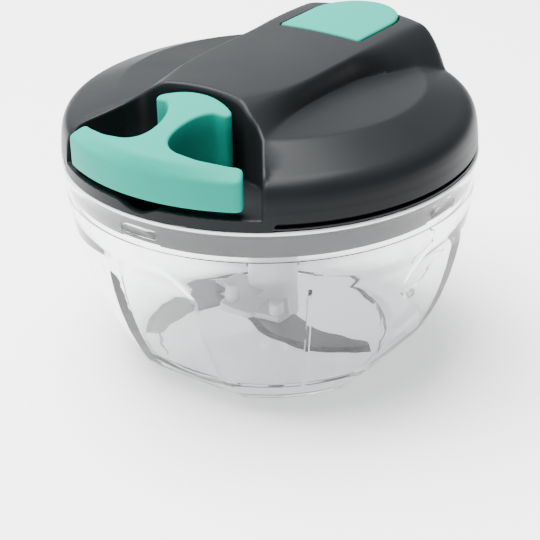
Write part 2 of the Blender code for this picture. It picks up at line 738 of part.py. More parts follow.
def knot(mat):
    z = RIM_Z + CORD_Z
    profile = [(0.0, z - KNOT_HALF)]
    for degrees in (-50.0, -25.0, 0.0, 25.0, 50.0):
        a = math.radians(degrees)
        profile.append((KNOT_R * math.cos(a), z + KNOT_HALF * math.sin(a)))
    profile.append((0.0, z + KNOT_HALF))
    return turned("cord_knot", profile, 14, mat, PARTS, False, 0.0, KNOT_Y)


# The cord leaves the drum at a tangent, bends at the eyelet and ends at the knot.
def cord_path():
    reach = WIND_OUTER_R + GAP + CORD_R + 0.1
    eye_y = -27.2 * SIZE
    turn = math.acos(reach / abs(eye_y))
    start = (reach * math.sin(turn), -reach * math.cos(turn))
    end_y = KNOT_Y + KNOT_R + 0.35
    points = [start]
    for t in (0.4, 0.75, 0.93):
        points.append((start[0] * (1.0 - t), start[1] + (eye_y - start[1]) * t))
    points.append((0.15, eye_y - 0.2))
    points.append((0.0, eye_y - 0.8))
    points.append((0.0, end_y))
    return points


def cord_run(mat):
    points = cord_path()
    z = RIM_Z + CORD_Z
    rings = []
    for k in range(len(points)):
        a = points[max(0, k - 1)]
        b = points[min(len(points) - 1, k + 1)]
        dx = b[0] - a[0]
        dy = b[1] - a[1]
        size = math.hypot(dx, dy)
        nx = -dy / size
        ny = dx / size
        ring = []
        for i in range(10):
            t = TAU * i / 10.0
            side = CORD_R * math.cos(t)
            ring.append((points[k][0] + nx * side, points[k][1] + ny * side, z + CORD_R * math.sin(t)))
        rings.append(ring)
    return ring_body("cord_run", rings, mat, PARTS)


def eyelet(mat):
    z = RIM_Z + CORD_Z
    rings = []
    front = -31.7 * SIZE
    for radius, y in ((1.7, front + 3.3), (2.4, front + 3.3), (2.4, front + 0.55), (3.5, front + 0.4),
                      (3.5, front), (1.9, front), (1.4, front + 0.4)):
        ring = []
        for i in range(18):
            a = TAU * i / 18.0
            ring.append((radius * math.cos(a), y, z + radius * math.sin(a)))
        rings.append(ring)
    return ring_body("cord_eyelet", rings, mat, PARTS, True)


def drum(mat):
    z = RIM_Z
    well = DRUM_BOTTOM + 2.2
    profile = [
        (AXLE_R + 0.08, z + AXLE_BOTTOM - 0.2), (AXLE_R + 0.08, z + well - 0.6),
        (AXLE_R + 4.0, z + well - 0.6), (AXLE_R + 4.0, z + well), (SPRING_WELL_R, z + well),
        (SPRING_WELL_R, z + DRUM_TOP - 0.8), (DRUM_R, z + DRUM_TOP - 0.8),
        (DRUM_R, z + WIND_TOP + 0.1), (WIND_INNER_R, z + WIND_TOP - 0.1),
        (WIND_INNER_R, z + WIND_BOTTOM + 0.1), (DRUM_R, z + WIND_BOTTOM - 0.1),
        (DRUM_R, z + DRUM_BOTTOM), (9.0, z + DRUM_BOTTOM), (JOURNAL_R + 2.0, z + 0.35),
        (JOURNAL_R, z + 0.35), (JOURNAL_R, z + JOURNAL_BOTTOM), (SHAFT_R + 0.3, z + JOURNAL_BOTTOM),
        (SHAFT_R + 0.3, z + SHAFT_TOP + 0.4), (AXLE_R + 0.7, z + AXLE_BOTTOM - 0.2)]
    return turned("cord_drum", profile, 24, mat, PARTS, True)


def drum_cap(mat):
    z = RIM_Z
    profile = [
        (AXLE_R + 1.7, z + DRUM_TOP - 0.5), (CAP_R, z + DRUM_TOP - 0.5), (CAP_R, z + DRUM_TOP + 0.4),
        (AXLE_R + 1.7, z + DRUM_TOP + 0.4)]
    return turned("drum_cap", profile, 24, mat, PARTS, True)


def winding(mat):
    z = RIM_Z
    profile = [(WIND_INNER_R + 0.1, z + WIND_BOTTOM + 0.35), (WIND_INNER_R + 0.1, z + WIND_TOP - 0.35)]
    turns = 3
    size = (WIND_TOP - WIND_BOTTOM - 0.7) / turns
    for k in range(turns):
        top = z + WIND_TOP - 0.35 - k * size
        for part in (0.0, 0.5):
            bulge = math.sin(math.pi * part)
            profile.append((WIND_OUTER_R - 0.8 + 0.8 * bulge, top - part * size))
    profile.append((WIND_OUTER_R - 0.8, z + WIND_BOTTOM + 0.35))
    return turned("cord_winding", profile, 24, mat, PARTS, True)


# A flat spiral strip coiled around the axle, inside the drum.
def clock_spring(mat):
    z0 = RIM_Z + DRUM_BOTTOM + 2.5
    z1 = RIM_Z + DRUM_TOP - 1.0
    turns = 4.0
    steps = 56
    thick = SPRING_THICK
    inner_r = AXLE_R + 1.9
    outer_r = SPRING_WELL_R - 0.5
    rings = []
    for k in range(steps + 1):
        t = k / steps
        a = TAU * turns * t
        r = inner_r + (outer_r - inner_r - thick) * t
        c = math.cos(a)
        s = math.sin(a)
        rings.append([
            (r * c, r * s, z0), ((r + thick) * c, (r + thick) * s, z0),
            ((r + thick) * c, (r + thick) * s, z1), (r * c, r * s, z1)])
    return ring_body("clock_spring", rings, mat, PARTS, False, 40.0)


def axle_pin(mat):
    z = RIM_Z
    profile = [
        (0.0, z + AXLE_BOTTOM), (AXLE_R - 0.4, z + AXLE_BOTTOM), (AXLE_R - 0.02, z + AXLE_BOTTOM + 0.4),
        (AXLE_R - 0.02, z + AXLE_TOP), (0.0, z + AXLE_TOP)]
    return turned("axle_pin", profile, 20, mat, PARTS)


# Six sided shaft that drives the blade sleeve.
def drive_shaft(mat):
    outline = hexagon(SHAFT_R)
    return raised("drive_shaft", outline, RIM_Z + SHAFT_BOTTOM, RIM_Z + SHAFT_TOP, mat, PARTS, 20.0)


def hexagon(radius):
    corners = []
    for i in range(6):
        a = TAU * (i + 0.5) / 6.0
        corners.append((radius * math.cos(a), radius * math.sin(a)))
    return corners


def button_top(x, y):
    back = max(0.0, y - 46.0 * SIZE) / (16.6 * SIZE)
    return RIM_Z + BUTTON_Z - CROWN_DROP * (x / (20.0 * SIZE)) ** 2 - 0.33 * back * back


def release_button(mat):
    points = []
    for y in wide((32.0, 38.0, 44.0, 50.0, 56.0)):
        for x in wide((-8.0, 0.0, 8.0)):
            points.append((x, y))
    body = slab(
        "release_button", button_outline(0.0), points, button_top, RIM_Z + BUTTON_BOTTOM, mat, PARTS, 40.0)
    low = RIM_Z + BUTTON_BOTTOM - 2.0
    top = RIM_Z + BUTTON_BORE_TOP
    profile = [(0.0, low), (BUTTON_BORE_R, low), (BUTTON_BORE_R, top), (0.0, top)]
    cut(body, turned("button_bore", profile, 20, None, TOOLS, False, 0.0, BUTTON_Y))
    return body


def button_spring(mat):
    z0 = RIM_Z + WELL_FLOOR + WIRE_R + 0.3
    z1 = RIM_Z + BUTTON_BORE_TOP - WIRE_R - 0.3
    turns = 4.0
    steps = 36
    coil_r = COIL_R
    wire = WIRE_R
    rings = []
    for k in range(steps + 1):
        t = k / steps
        a = TAU * turns * t
        z = z0 + (z1 - z0) * t
        ring = []
        for i in range(5):
            b = TAU * i / 5.0
            r = coil_r + wire * math.cos(b)
            ring.append((r * math.cos(a), BUTTON_Y + r * math.sin(a), z + wire * math.sin(b)))
        rings.append(ring)
    return ring_body("button_spring", rings, mat, PARTS, False, 50.0)


def turned_about(points, degrees):
    a = math.radians(degrees)
    c = math.cos(a)
    s = math.sin(a)
    return [(x * c - y * s, x * s + y * c) for x, y in points]


def arm_outline():
    x0 = HOLES_X[1] - 3.4
    x1 = HOLES_X[0] + 3.4
    return [(x0 + 1.0, HOLE_LINE_Y - 3.2), (x1 - 1.0, HOLE_LINE_Y - 3.2),
            (x1, HOLE_LINE_Y - 2.2), (x1, HOLE_LINE_Y + 2.4), (x1 - 5.0, -3.0), (x0, -3.0),
            (x0, HOLE_LINE_Y - 2.2)]


def blade_holder(mat):
    bore_r = PIN_R + BORE_GAP
    profile = [
        (bore_r, SLEEVE_BOTTOM), (SLEEVE_R - 0.4, SLEEVE_BOTTOM), (SLEEVE_R, SLEEVE_BOTTOM + 0.4),
        (SLEEVE_R, SLEEVE_TOP - 0.5), (SLEEVE_R - 0.5, SLEEVE_TOP), (bore_r, SLEEVE_TOP)]
    body = turned("blade_holder", profile, 24, mat, PARTS, True)
    for k in range(3):
        low = BLADE_LEVELS[k] + BLADE_THICK + 0.2
        top = low + ARM_HEIGHT
        outline = turned_about(arm_outline(), BLADE_TURNS[k])
        cut(body, raised("arm_%d" % (k + 1), outline, low, top, None, TOOLS), "UNION")
        for n in range(2):
            spot = turned_about([(HOLES_X[n], HOLE_LINE_Y)], BLADE_TURNS[k])[0]
            foot = BLADE_LEVELS[k] - CLIP_HEIGHT - 0.3
            profile = [(0.0, foot), (PEG_R, foot), (PEG_R, low + 0.8), (0.0, low + 0.8)]
            stud = turned("stud_%d_%d" % (k + 1, n + 1), profile, 12, None, TOOLS, False, spot[0], spot[1])
            cut(body, stud, "UNION")
        spot = turned_about([(HOLES_X[0], HOLE_LINE_Y)], BLADE_TURNS[k])[0]
        profile = [
            (0.0, top - 0.8), (PEG_TOP_R + 0.8, top - 0.8), (PEG_TOP_R + 0.4, top + PEG_HEIGHT - 0.4),
            (PEG_TOP_R, top + PEG_HEIGHT), (0.0, top + PEG_HEIGHT)]
        peg = turned("peg_%d" % (k + 1), profile, 14, None, TOOLS, False, spot[0], spot[1])
        cut(body, peg, "UNION")
    cut(body, raised("pin_bore", circle_plan(bore_r, 20), 4.0, BORE_BOTTOM + 2.0, None, TOOLS))
    bore = raised(
        "shaft_bore", hexagon(SHAFT_R + BORE_GAP), BORE_BOTTOM, SLEEVE_TOP + 4.0, None, TOOLS)
    cut(body, bore)
    return body


def circle_plan(radius, segments):
    return [(p[0], p[1]) for p in circle(radius, 0.0, segments)]


# Plan of one crescent blade. The convex side is the cutting edge.
BLADE_PLAN = (
    (-0.1, 6.6), (3.3, 8.7), (7.9, 11.2), (14.1, 13.3), (20.7, 14.0), (27.4, 13.3), (33.6, 11.4),
    (39.0, 8.3), (43.8, 3.9), (42.7, 2.5), (41.1, 0.9), (39.8, 0.6), (34.9, 1.9), (29.9, 2.4),
    (25.3, 2.2), (20.7, 1.2), (16.6, -0.4), (12.8, -2.8), (12.0, -1.7), (11.6, -0.1), (0.6, -0.8))
BLADE_HOLES = ((9.3, 3.2), (3.5, 2.9))


def place_blade(points, turn):
    made = []
    for u, v in points:
        made.append((HOLES_X[0] + (u - BLADE_HOLES[0][0]) * SIZE,
                     HOLE_LINE_Y - (v - BLADE_HOLES[0][1]) * SIZE))
    return turned_about(made, turn)


def blade(index, name, mat):
    turn = BLADE_TURNS[index]
    low = BLADE_LEVELS[index]
    outline = place_blade(BLADE_PLAN, turn)
    edge = []
    for k in range(len(BLADE_PLAN)):
        u, v = BLADE_PLAN[k]
        shift = 1.3 if 1 <= k <= 7 else 0.0
        edge.append((u + (0.02 * (21.0 - u)) * (shift > 0.0), v - shift))
    inner = place_blade(edge, turn)
    rings = [
        [(p[0], p[1], low) for p in outline],
        [(p[0], p[1], low + 0.3) for p in outline],
        [(p[0], p[1], low + BLADE_THICK) for p in inner],
    ]
    body = ring_body(name, rings, mat, PARTS, False, 20.0)
    for n in range(2):
        spot = place_blade([BLADE_HOLES[n]], turn)[0]
        profile = [(0.0, low - 1.0), (HOLE_R, low - 1.0), (HOLE_R, low + 2.0), (0.0, low + 2.0)]
        hole = turned("%s_hole_%d" % (name, n + 1), profile, 16, None, TOOLS, False, spot[0], spot[1])
        cut(body, hole)
    return body


def blade_clip(index, mat):
    turn = BLADE_TURNS[index]
    low = BLADE_LEVELS[index] - 0.15 - CLIP_HEIGHT
    outline = []
    for x, y in ((HOLES_X[1], HOLE_LINE_Y), (HOLES_X[0], HOLE_LINE_Y)):
        start = 90.0 if x == HOLES_X[1] else -90.0
        for i in range(9):
            a = math.radians(start + 180.0 * i / 8.0)
            outline.append((x + 2.75 * math.cos(a), y + 2.3 * math.sin(a)))
    body = raised(
        "blade_clip_%d" % (index + 1), turned_about(outline, turn), low, low + CLIP_HEIGHT, mat, PARTS)
    for n in range(2):
        spot = turned_about([(HOLES_X[n], HOLE_LINE_Y)], turn)[0]
        profile = [(0.0, low - 1.0), (PEG_R + 0.05, low - 1.0), (PEG_R + 0.05, low + 4.0), (0.0, low + 4.0)]
        hole = turned(
            "clip_%d_hole_%d" % (index + 1, n + 1), profile, 12, None, TOOLS, False, spot[0], spot[1])
        cut(body, hole)
    return body


def build():
    clear = material("clear_plastic", (0.86, 0.88, 0.90), 0.05, 0.0, 0.9)
    dark = material("dark_plastic", (0.055, 0.062, 0.068), 0.38, 0.0, 0.0)
    grey = material("grey_plastic", (0.11, 0.115, 0.12), 0.45, 0.0, 0.0)
    teal = material("teal_plastic", (0.18, 0.66, 0.56), 0.4, 0.0, 0.0)
    white = material("white_plastic", (0.82, 0.83, 0.84), 0.4, 0.0, 0.0)
    steel = material("blade_steel", (0.62, 0.63, 0.65), 0.28, 1.0, 0.0)
    zinc = material("plated_steel", (0.66, 0.66, 0.68), 0.35, 1.0, 0.0)
    spring = material("spring_steel", (0.45, 0.46, 0.48), 0.3, 1.0, 0.0)
    rubber = material("seal_rubber", (0.62, 0.63, 0.64), 0.7, 0.0, 0.0)
    braid = material("cord_braid", (0.75, 0.75, 0.73), 0.9, 0.0, 0.0)
    bowl(clear)
    pivot_pin(zinc)
    lid_cover(dark)
    lid_base(grey)
    lid_seal(rubber)
    for index in range(4):
        cover_screw(index, zinc)
    cord_z = RIM_Z + CORD_Z
    place_origin(pull_handle(teal), 0.0, KNOT_Y, cord_z)
    place_origin(knot(braid), 0.0, KNOT_Y, cord_z)
    cord_run(braid)
    eyelet(zinc)
    place_origin(drum(white), 0.0, 0.0, cord_z)
    place_origin(drum_cap(white), 0.0, 0.0, cord_z)
    place_origin(winding(braid), 0.0, 0.0, cord_z)
    place_origin(clock_spring(spring), 0.0, 0.0, cord_z)
    axle_pin(zinc)
    place_origin(drive_shaft(zinc), 0.0, 0.0, cord_z)
    place_origin(release_button(teal), 0.0, BUTTON_Y, RIM_Z + BUTTON_Z - 2.45)
    button_spring(spring)
    place_origin(blade_holder(white), 0.0, 0.0, SLEEVE_BOTTOM)
    for index, name in enumerate(("blade_low", "blade_middle", "blade_high")):
        place_origin(blade(index, name, steel), 0.0, 0.0, BLADE_LEVELS[index])
        place_origin(blade_clip(index, white), 0.0, 0.0, BLADE_LEVELS[index])


build()
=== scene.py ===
import math
import bpy
import bmesh
import numpy as np
from mathutils import Matrix, Vector
from mathutils.geometry import delaunay_2d_cdt


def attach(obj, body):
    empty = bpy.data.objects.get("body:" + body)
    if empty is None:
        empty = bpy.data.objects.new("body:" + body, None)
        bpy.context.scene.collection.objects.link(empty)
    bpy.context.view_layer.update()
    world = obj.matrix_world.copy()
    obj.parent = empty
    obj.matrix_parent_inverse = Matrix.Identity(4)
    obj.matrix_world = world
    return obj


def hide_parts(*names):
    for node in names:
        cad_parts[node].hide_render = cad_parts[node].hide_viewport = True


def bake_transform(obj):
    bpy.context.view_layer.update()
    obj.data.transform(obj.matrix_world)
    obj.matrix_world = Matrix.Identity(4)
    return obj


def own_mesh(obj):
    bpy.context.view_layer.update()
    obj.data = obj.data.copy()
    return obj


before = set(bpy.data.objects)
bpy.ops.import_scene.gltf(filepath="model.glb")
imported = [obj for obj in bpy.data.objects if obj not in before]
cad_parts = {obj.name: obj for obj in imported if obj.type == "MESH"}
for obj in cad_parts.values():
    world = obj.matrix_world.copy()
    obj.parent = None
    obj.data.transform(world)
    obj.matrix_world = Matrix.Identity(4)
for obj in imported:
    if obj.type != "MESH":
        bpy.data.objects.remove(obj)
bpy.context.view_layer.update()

# The photograph was taken from the right of the pull handle, a little above
# the lid, with the camera tipped down a further few degrees.
CAMERA_AZIMUTH = 36.492
CAMERA_ELEVATION = 23.028
CAMERA_ROLL = -1.509
CAMERA_DISTANCE = 0.49664
CAMERA_PAN = -0.0019
CAMERA_TILT = -0.0815
CAMERA_FOCAL_PX = 1574.8
PHOTO_PX = 540.0
SENSOR_MM = 36.0
BOWL_RIM_Z = 0.068


# Puts an object with the given data in the scene.
def linked(name, data):
    item = bpy.data.objects.new(name, data)
    bpy.context.scene.collection.objects.link(item)
    return item


def place_camera():
    azimuth = math.radians(CAMERA_AZIMUTH)
    elevation = math.radians(CAMERA_ELEVATION)
    away = Vector((math.sin(azimuth) * math.cos(elevation),
                   -math.cos(azimuth) * math.cos(elevation),
                   math.sin(elevation)))
    ahead = -away
    right = ahead.cross(Vector((0.0, 0.0, 1.0))).normalized()
    up = right.cross(ahead)
    ahead = (ahead + right * math.tan(CAMERA_PAN) + up * math.tan(CAMERA_TILT)).normalized()
    right = ahead.cross(Vector((0.0, 0.0, 1.0))).normalized()
    up = right.cross(ahead)
    roll = math.radians(CAMERA_ROLL)
    side = right * math.cos(roll) + up * math.sin(roll)
    top = up * math.cos(roll) - right * math.sin(roll)
    place = Vector((0.0, 0.0, BOWL_RIM_Z)) + away * CAMERA_DISTANCE
    data = bpy.data.cameras.new("photo_camera")
    data.sensor_width = SENSOR_MM
    data.lens = CAMERA_FOCAL_PX / PHOTO_PX * SENSOR_MM
    data.clip_start = 0.01
    data.clip_end = 20.0
    camera = linked("photo_camera", data)
    turn = Matrix((side, top, -ahead)).transposed().to_4x4()
    camera.matrix_world = Matrix.Translation(place) @ turn
    bpy.context.scene.camera = camera


place_camera()

# A white table top lit from below, under a large soft light from above, with two
# weaker ones from the left and the back and a pale surround, as in a product studio.
TABLE_GLOW = 0.9
TABLE_HALF = 3.0
TABLE_Z = -0.0002


def studio_light(name, place, target, size, watts):
    data = bpy.data.lights.new(name, "AREA")
    data.shape = "RECTANGLE"
    data.size = size[0]
    data.size_y = size[1]
    data.energy = watts
    lamp = linked(name, data)
    lamp.location = place
    aim = Vector(target) - Vector(place)
    lamp.rotation_euler = aim.to_track_quat("-Z", "Y").to_euler()


def studio_floor():
    data = bpy.data.meshes.new("table_top")
    corners = [(-TABLE_HALF, -TABLE_HALF, TABLE_Z), (TABLE_HALF, -TABLE_HALF, TABLE_Z),
               (TABLE_HALF, TABLE_HALF, TABLE_Z), (-TABLE_HALF, TABLE_HALF, TABLE_Z)]
    data.from_pydata(corners, [], [(0, 1, 2, 3)])
    top = linked("table_top", data)
    paint = bpy.data.materials.new("table_white")
    paint.use_nodes = True
    shader = paint.node_tree.nodes["Principled BSDF"]
    shader.inputs["Base Color"].default_value = (0.9, 0.9, 0.9, 1.0)
    shader.inputs["Roughness"].default_value = 0.6
    shader.inputs["Emission Color"].default_value = (0.97, 0.985, 1.0, 1.0)
    shader.inputs["Emission Strength"].default_value = TABLE_GLOW
    data.materials.append(paint)


def studio_surround():
    world = bpy.data.worlds.new("pale_surround")
    bpy.context.scene.world = world
    world.use_nodes = True
    back = world.node_tree.nodes["Background"]
    back.inputs["Color"].default_value = (1.0, 1.0, 1.0, 1.0)
    back.inputs["Strength"].default_value = 0.35


studio_floor()
studio_surround()
studio_light("light_above", (-0.25, -0.05, 1.0), (0.0, 0.0, 0.05), (0.9, 0.9), 58.0)
studio_light("light_left", (-0.95, -0.45, 0.5), (0.0, 0.0, 0.06), (0.5, 0.8), 7.0)
studio_light("light_back", (-0.8, 0.75, 0.5), (0.0, 0.0, 0.07), (1.3, 0.6), 3.2)

# The dark cover is one injection moulding in satin plastic, screwed to the base below.
# A spine runs from the handle pocket to the back, with a shallow thumb dish on each
# side of it.
TAU = 2.0 * math.pi


# A closed body from points in millimetres.
def make_object(name, vertices, faces, material, angle=35.0):
    data = bpy.data.meshes.new(name)
    points = np.asarray(vertices, float) * 0.001
    data.from_pydata([tuple(p) for p in points], [], [tuple(f) for f in faces])
    bm = bmesh.new()
    bm.from_mesh(data)
    bmesh.ops.remove_doubles(bm, verts=bm.verts, dist=1e-7)
    bmesh.ops.dissolve_degenerate(bm, dist=1e-7, edges=bm.edges)
    bmesh.ops.recalc_face_normals(bm, faces=bm.faces)
    bm.to_mesh(data)
    bm.free()
    item = linked(name, data)
    data.materials.append(material)
    shade_smooth(item, angle)
    return item


def shade_smooth(item, angle):
    for face in item.data.polygons:
        face.use_smooth = True
    item.data.set_sharp_from_angle(angle=math.radians(angle))


# The mesh that an object's modifiers give it, in one material.
def evaluated_mesh(item, material):
    graph = bpy.context.evaluated_depsgraph_get()
    data = bpy.data.meshes.new_from_object(item.evaluated_get(graph))
    data.materials.clear()
    data.materials.append(material)
    for face in data.polygons:
        face.material_index = 0
    return data


# Joins or cuts one closed body with others, which are removed afterwards.
def combine(item, others, operation="DIFFERENCE", angle=35.0):
    for other in others:
        step = item.modifiers.new("join", "BOOLEAN")
        step.operation = operation
        step.solver = "EXACT"
        step.object = other
    data = evaluated_mesh(item, item.data.materials[0])
    item.modifiers.clear()
    item.data = data
    item.data.name = item.name
    for other in others:
        bpy.data.objects.remove(other, do_unlink=True)
    shade_smooth(item, angle)


def soft(a, b, x):
    t = np.clip((np.asarray(x, float) - a) / (b - a), 0.0, 1.0)
    return t * t * (3.0 - 2.0 * t)


# A curve through the given values whose corners are rounded.
def smooth_table(xs, ys, x, blur):
    xs = np.asarray(xs, float)
    fine = np.linspace(xs[0] - 3.0 * blur, xs[-1] + 3.0 * blur, 1200)
    slope_a = (ys[1] - ys[0]) / (xs[1] - xs[0])
    slope_b = (ys[-1] - ys[-2]) / (xs[-1] - xs[-2])
    values = np.interp(fine, xs, ys)
    values += np.where(fine < xs[0], (fine - xs[0]) * slope_a, 0.0)
    values += np.where(fine > xs[-1], (fine - xs[-1]) * slope_b, 0.0)
    count = max(3, int(blur / (fine[1] - fine[0])) | 1)
    window = np.ones(count) / count
    for _ in range(2):
        padded = np.pad(values, count // 2, mode="reflect", reflect_type="odd")
        values = np.convolve(padded, window, mode="valid")
    return np.interp(x, fine, values)


# Points at even steps along a smooth curve through the given points.
def spline(points, step, closed):
    p = np.asarray(points, float)
    count = len(p)
    out = []
    spans = count if closed else count - 1
    for i in range(spans):
        if closed:
            a, b, c, d = p[(i - 1) % count], p[i], p[(i + 1) % count], p[(i + 2) % count]
        else:
            a, b, c, d = p[max(i - 1, 0)], p[i], p[i + 1], p[min(i + 2, count - 1)]
        size = np.linalg.norm(c - b)
        before = max(np.linalg.norm(b - a), 1e-6)
        after = max(np.linalg.norm(d - c), 1e-6)
        start = ((b - a) / before * size + (c - b)) / 2.0 if before > 1e-5 else c - b
        finish = ((c - b) + (d - c) / after * size) / 2.0 if after > 1e-5 else c - b
        n = max(1, int(math.ceil(size / step)))
        for k in range(n):
            t = k / n
            h00 = 2 * t ** 3 - 3 * t ** 2 + 1
            h10 = t ** 3 - 2 * t ** 2 + t
            h01 = -2 * t ** 3 + 3 * t ** 2
            h11 = t ** 3 - t ** 2
            out.append(h00 * b + h10 * start + h01 * c + h11 * finish)
    if not closed:
        out.append(p[-1])
    return np.array(out)


# Moves a closed outline outward by the given distance, inward if negative.
def offset_outline(outline, distance):
    ahead = np.roll(outline, -1, 0) - outline
    behind = outline - np.roll(outline, 1, 0)
    ahead /= np.maximum(np.linalg.norm(ahead, axis=1, keepdims=True), 1e-9)
    behind /= np.maximum(np.linalg.norm(behind, axis=1, keepdims=True), 1e-9)
    along = ahead + behind
    along /= np.maximum(np.linalg.norm(along, axis=1, keepdims=True), 1e-9)
    normal = np.stack([along[:, 1], -along[:, 0]], 1)
    x, y = outline[:, 0], outline[:, 1]
    area = np.sum(x * np.roll(y, -1) - np.roll(x, -1) * y)
    return outline + normal * distance * (1.0 if area > 0 else -1.0)


def distance_to(outline, points, closed=True):
    a = outline if closed else outline[:-1]
    b = np.roll(outline, -1, 0) if closed else outline[1:]
    best = np.full(len(points), 1e9)
    for k in range(0, len(points), 2000):
        p = points[k:k + 2000]
        run = b - a
        size = np.maximum((run ** 2).sum(1), 1e-12)
        t = np.clip(((p[:, None, :] - a[None]) * run[None]).sum(2) / size, 0.0, 1.0)
        near = a[None] + t[..., None] * run[None]
        best[k:k + 2000] = np.sqrt(((p[:, None, :] - near) ** 2).sum(2)).min(1)
    return best


def inside(outline, points):
    x, y = points[:, 0], points[:, 1]
    hit = np.zeros(len(points), bool)
    for k in range(len(outline)):
        x0, y0 = outline[k - 1]
        x1, y1 = outline[k]
        if y0 == y1:
            continue
        crosses = (y0 > y) != (y1 > y)
        hit ^= crosses & (x < (x1 - x0) * (y - y0) / (y1 - y0) + x0)
    return hit


# Fills an area with triangles whose corners lie on the given loops and points.
def filled(loops, points, keep):
    corners = []
    edges = []
    for loop in loops:
        first = len(corners)
        corners += [Vector((p[0], p[1])) for p in loop]
        edges += [(first + i, first + (i + 1) % len(loop)) for i in range(len(loop))]
    corners += [Vector((p[0], p[1])) for p in points]
    made, _, faces, _, _, _ = delaunay_2d_cdt(corners, edges, [], 0, 1e-5)
    flat = np.array([(v[0], v[1]) for v in made])
    faces = np.array([f for f in faces if len(f) == 3])
    middle = flat[faces].mean(1)
    a, b, c = flat[faces[:, 0]], flat[faces[:, 1]], flat[faces[:, 2]]
    area = (b[:, 0] - a[:, 0]) * (c[:, 1] - a[:, 1]) - (b[:, 1] - a[:, 1]) * (c[:, 0] - a[:, 0])
    faces = faces[keep(middle) & (np.abs(area) > 1e-7)]
    used = np.unique(faces)
    index = np.full(len(flat), -1)
    index[used] = np.arange(len(used))
    return flat[used], index[faces]


def rim_edges(faces):
    seen = {}
    for f in faces:
        for i in range(3):
            a, b = int(f[i]), int(f[(i + 1) % 3])
            key = (min(a, b), max(a, b))
            seen[key] = None if key in seen else (a, b)
    return [pair for pair in seen.values() if pair is not None]


# A closed body between an upper and a lower surface, over a closed outline.
# edge_steps are the distances from the outline at which rows of points follow it.
def slab(name, outline, edge_steps, spacing, top, bottom, material, wall_rows=1, angle=35.0):
    outline = np.asarray(outline, float)
    loops = [outline]
    for step in edge_steps:
        loops.append(offset_outline(outline, -step))
    low = outline.min(0)
    high = outline.max(0)
    xs = np.arange(low[0], high[0] + spacing, spacing)
    ys = np.arange(low[1], high[1] + spacing, spacing * 0.866)
    grid = np.array([(x + (j % 2) * spacing / 2.0, y) for j, y in enumerate(ys) for x in xs])
    grid = grid[inside(outline, grid)]
    clear = max(edge_steps) + spacing * 0.55 if edge_steps else spacing * 0.55
    if len(grid):
        grid = grid[distance_to(outline, grid) > clear]
    flat, faces = filled(loops, grid, lambda m: inside(outline, m))
    gap = distance_to(outline, flat)
    up = top(flat[:, 0], flat[:, 1], gap)
    down = bottom(flat[:, 0], flat[:, 1], gap)
    count = len(flat)
    vertices = [(x, y, z) for (x, y), z in zip(flat, up)]
    vertices += [(x, y, z) for (x, y), z in zip(flat, down)]
    shape = [tuple(int(i) for i in f) for f in faces]
    shape += [tuple(int(i) + count for i in reversed(f)) for f in faces]
    rows = {}

    def wall_point(i, row):
        if row == 0:
            return i
        if row == wall_rows:
            return i + count
        if (i, row) not in rows:
            t = row / wall_rows
            rows[(i, row)] = len(vertices)
            vertices.append((flat[i][0], flat[i][1], up[i] * (1.0 - t) + down[i] * t))
        return rows[(i, row)]

    for a, b in rim_edges(faces):
        for row in range(wall_rows):
            shape.append((wall_point(b, row), wall_point(a, row),
                          wall_point(a, row + 1), wall_point(b, row + 1)))
    return make_object(name, vertices, shape, material, angle)


# A level top or bottom for a slab.
def level(z):
    return lambda x, y, gap: np.full(len(x), z)


def ring_mesh(rings, loop):
    vertices = []
    faces = []
    starts = []
    for ring in rings:
        starts.append((len(vertices), len(ring)))
        vertices += [tuple(p) for p in ring]
    pairs = list(zip(range(len(rings) - 1), range(1, len(rings))))
    if loop:
        pairs.append((len(rings) - 1, 0))
    for low, high in pairs:
        a, n = starts[low]
        b, m = starts[high]
        for i in range(max(n, m)):
            j = (i + 1) % max(n, m)
            if n == 1:
                faces.append((a, b + j, b + i))
            elif m == 1:
                faces.append((a + i, a + j, b))
            else:
                faces.append((a + i, a + j, b + j, b + i))
    return vertices, faces


def lathe(name, profile, segments, material, loop=False, angle=35.0, at=(0.0, 0.0)):
    rings = []
    for r, z in profile:
        if r <= 0.0:
            rings.append([(at[0], at[1], z)])
        else:
            turn = np.arange(segments) * TAU / segments
            rings.append(np.stack([at[0] + r * np.cos(turn), at[1] + r * np.sin(turn),
                                   np.full(segments, z)], 1))
    vertices, faces = ring_mesh(rings, loop)
    return make_object(name, vertices, faces, material, angle)


# An upright round rod, made to cut other bodies.
def rod(name, radius, low, high, segments, material, at=(0.0, 0.0)):
    profile = [(0.0, low), (radius, low), (radius, high), (0.0, high)]
    return lathe(name, profile, segments, material, False, 35.0, at)


# Lays an upright rod down along -Y, at the height of the cord.
def laid_along_cord(item):
    for vertex in item.data.vertices:
        x, y, z = vertex.co
        vertex.co = (x, -z, y + CORD_Z * 0.001)
    return item


def rounding(gap, radius):
    t = np.clip(gap / radius, 0.0, 1.0)
    return radius * (1.0 - np.sqrt(np.maximum(0.0, 1.0 - (1.0 - t) ** 2)))


# A new material: its shader's tree, the shader, and the object's own coordinates.
def new_material(name, color):
    made = bpy.data.materials.new(name)
    made.use_nodes = True
    made.diffuse_color = tuple(color) + (1.0,)
    tree = made.node_tree
    shader = tree.nodes["Principled BSDF"]
    shader.inputs["Base Color"].default_value = tuple(color) + (1.0,)
    return made, tree, shader, tree.nodes.new("ShaderNodeTexCoord").outputs["Object"]


# Adds a node, whose named inputs each take a plain number or a link from a socket.
def add_node(tree, kind, inputs):
    node = tree.nodes.new(kind)
    for name, value in inputs.items():
        if isinstance(value, bpy.types.NodeSocket):
            tree.links.new(value, node.inputs[name])
        else:
            node.inputs[name].default_value = value
    return node.outputs


def add_noise(tree, vector, scale, detail):
    return add_node(tree, "ShaderNodeTexNoise",
                    {"Vector": vector, "Scale": scale, "Detail": detail})["Fac"]


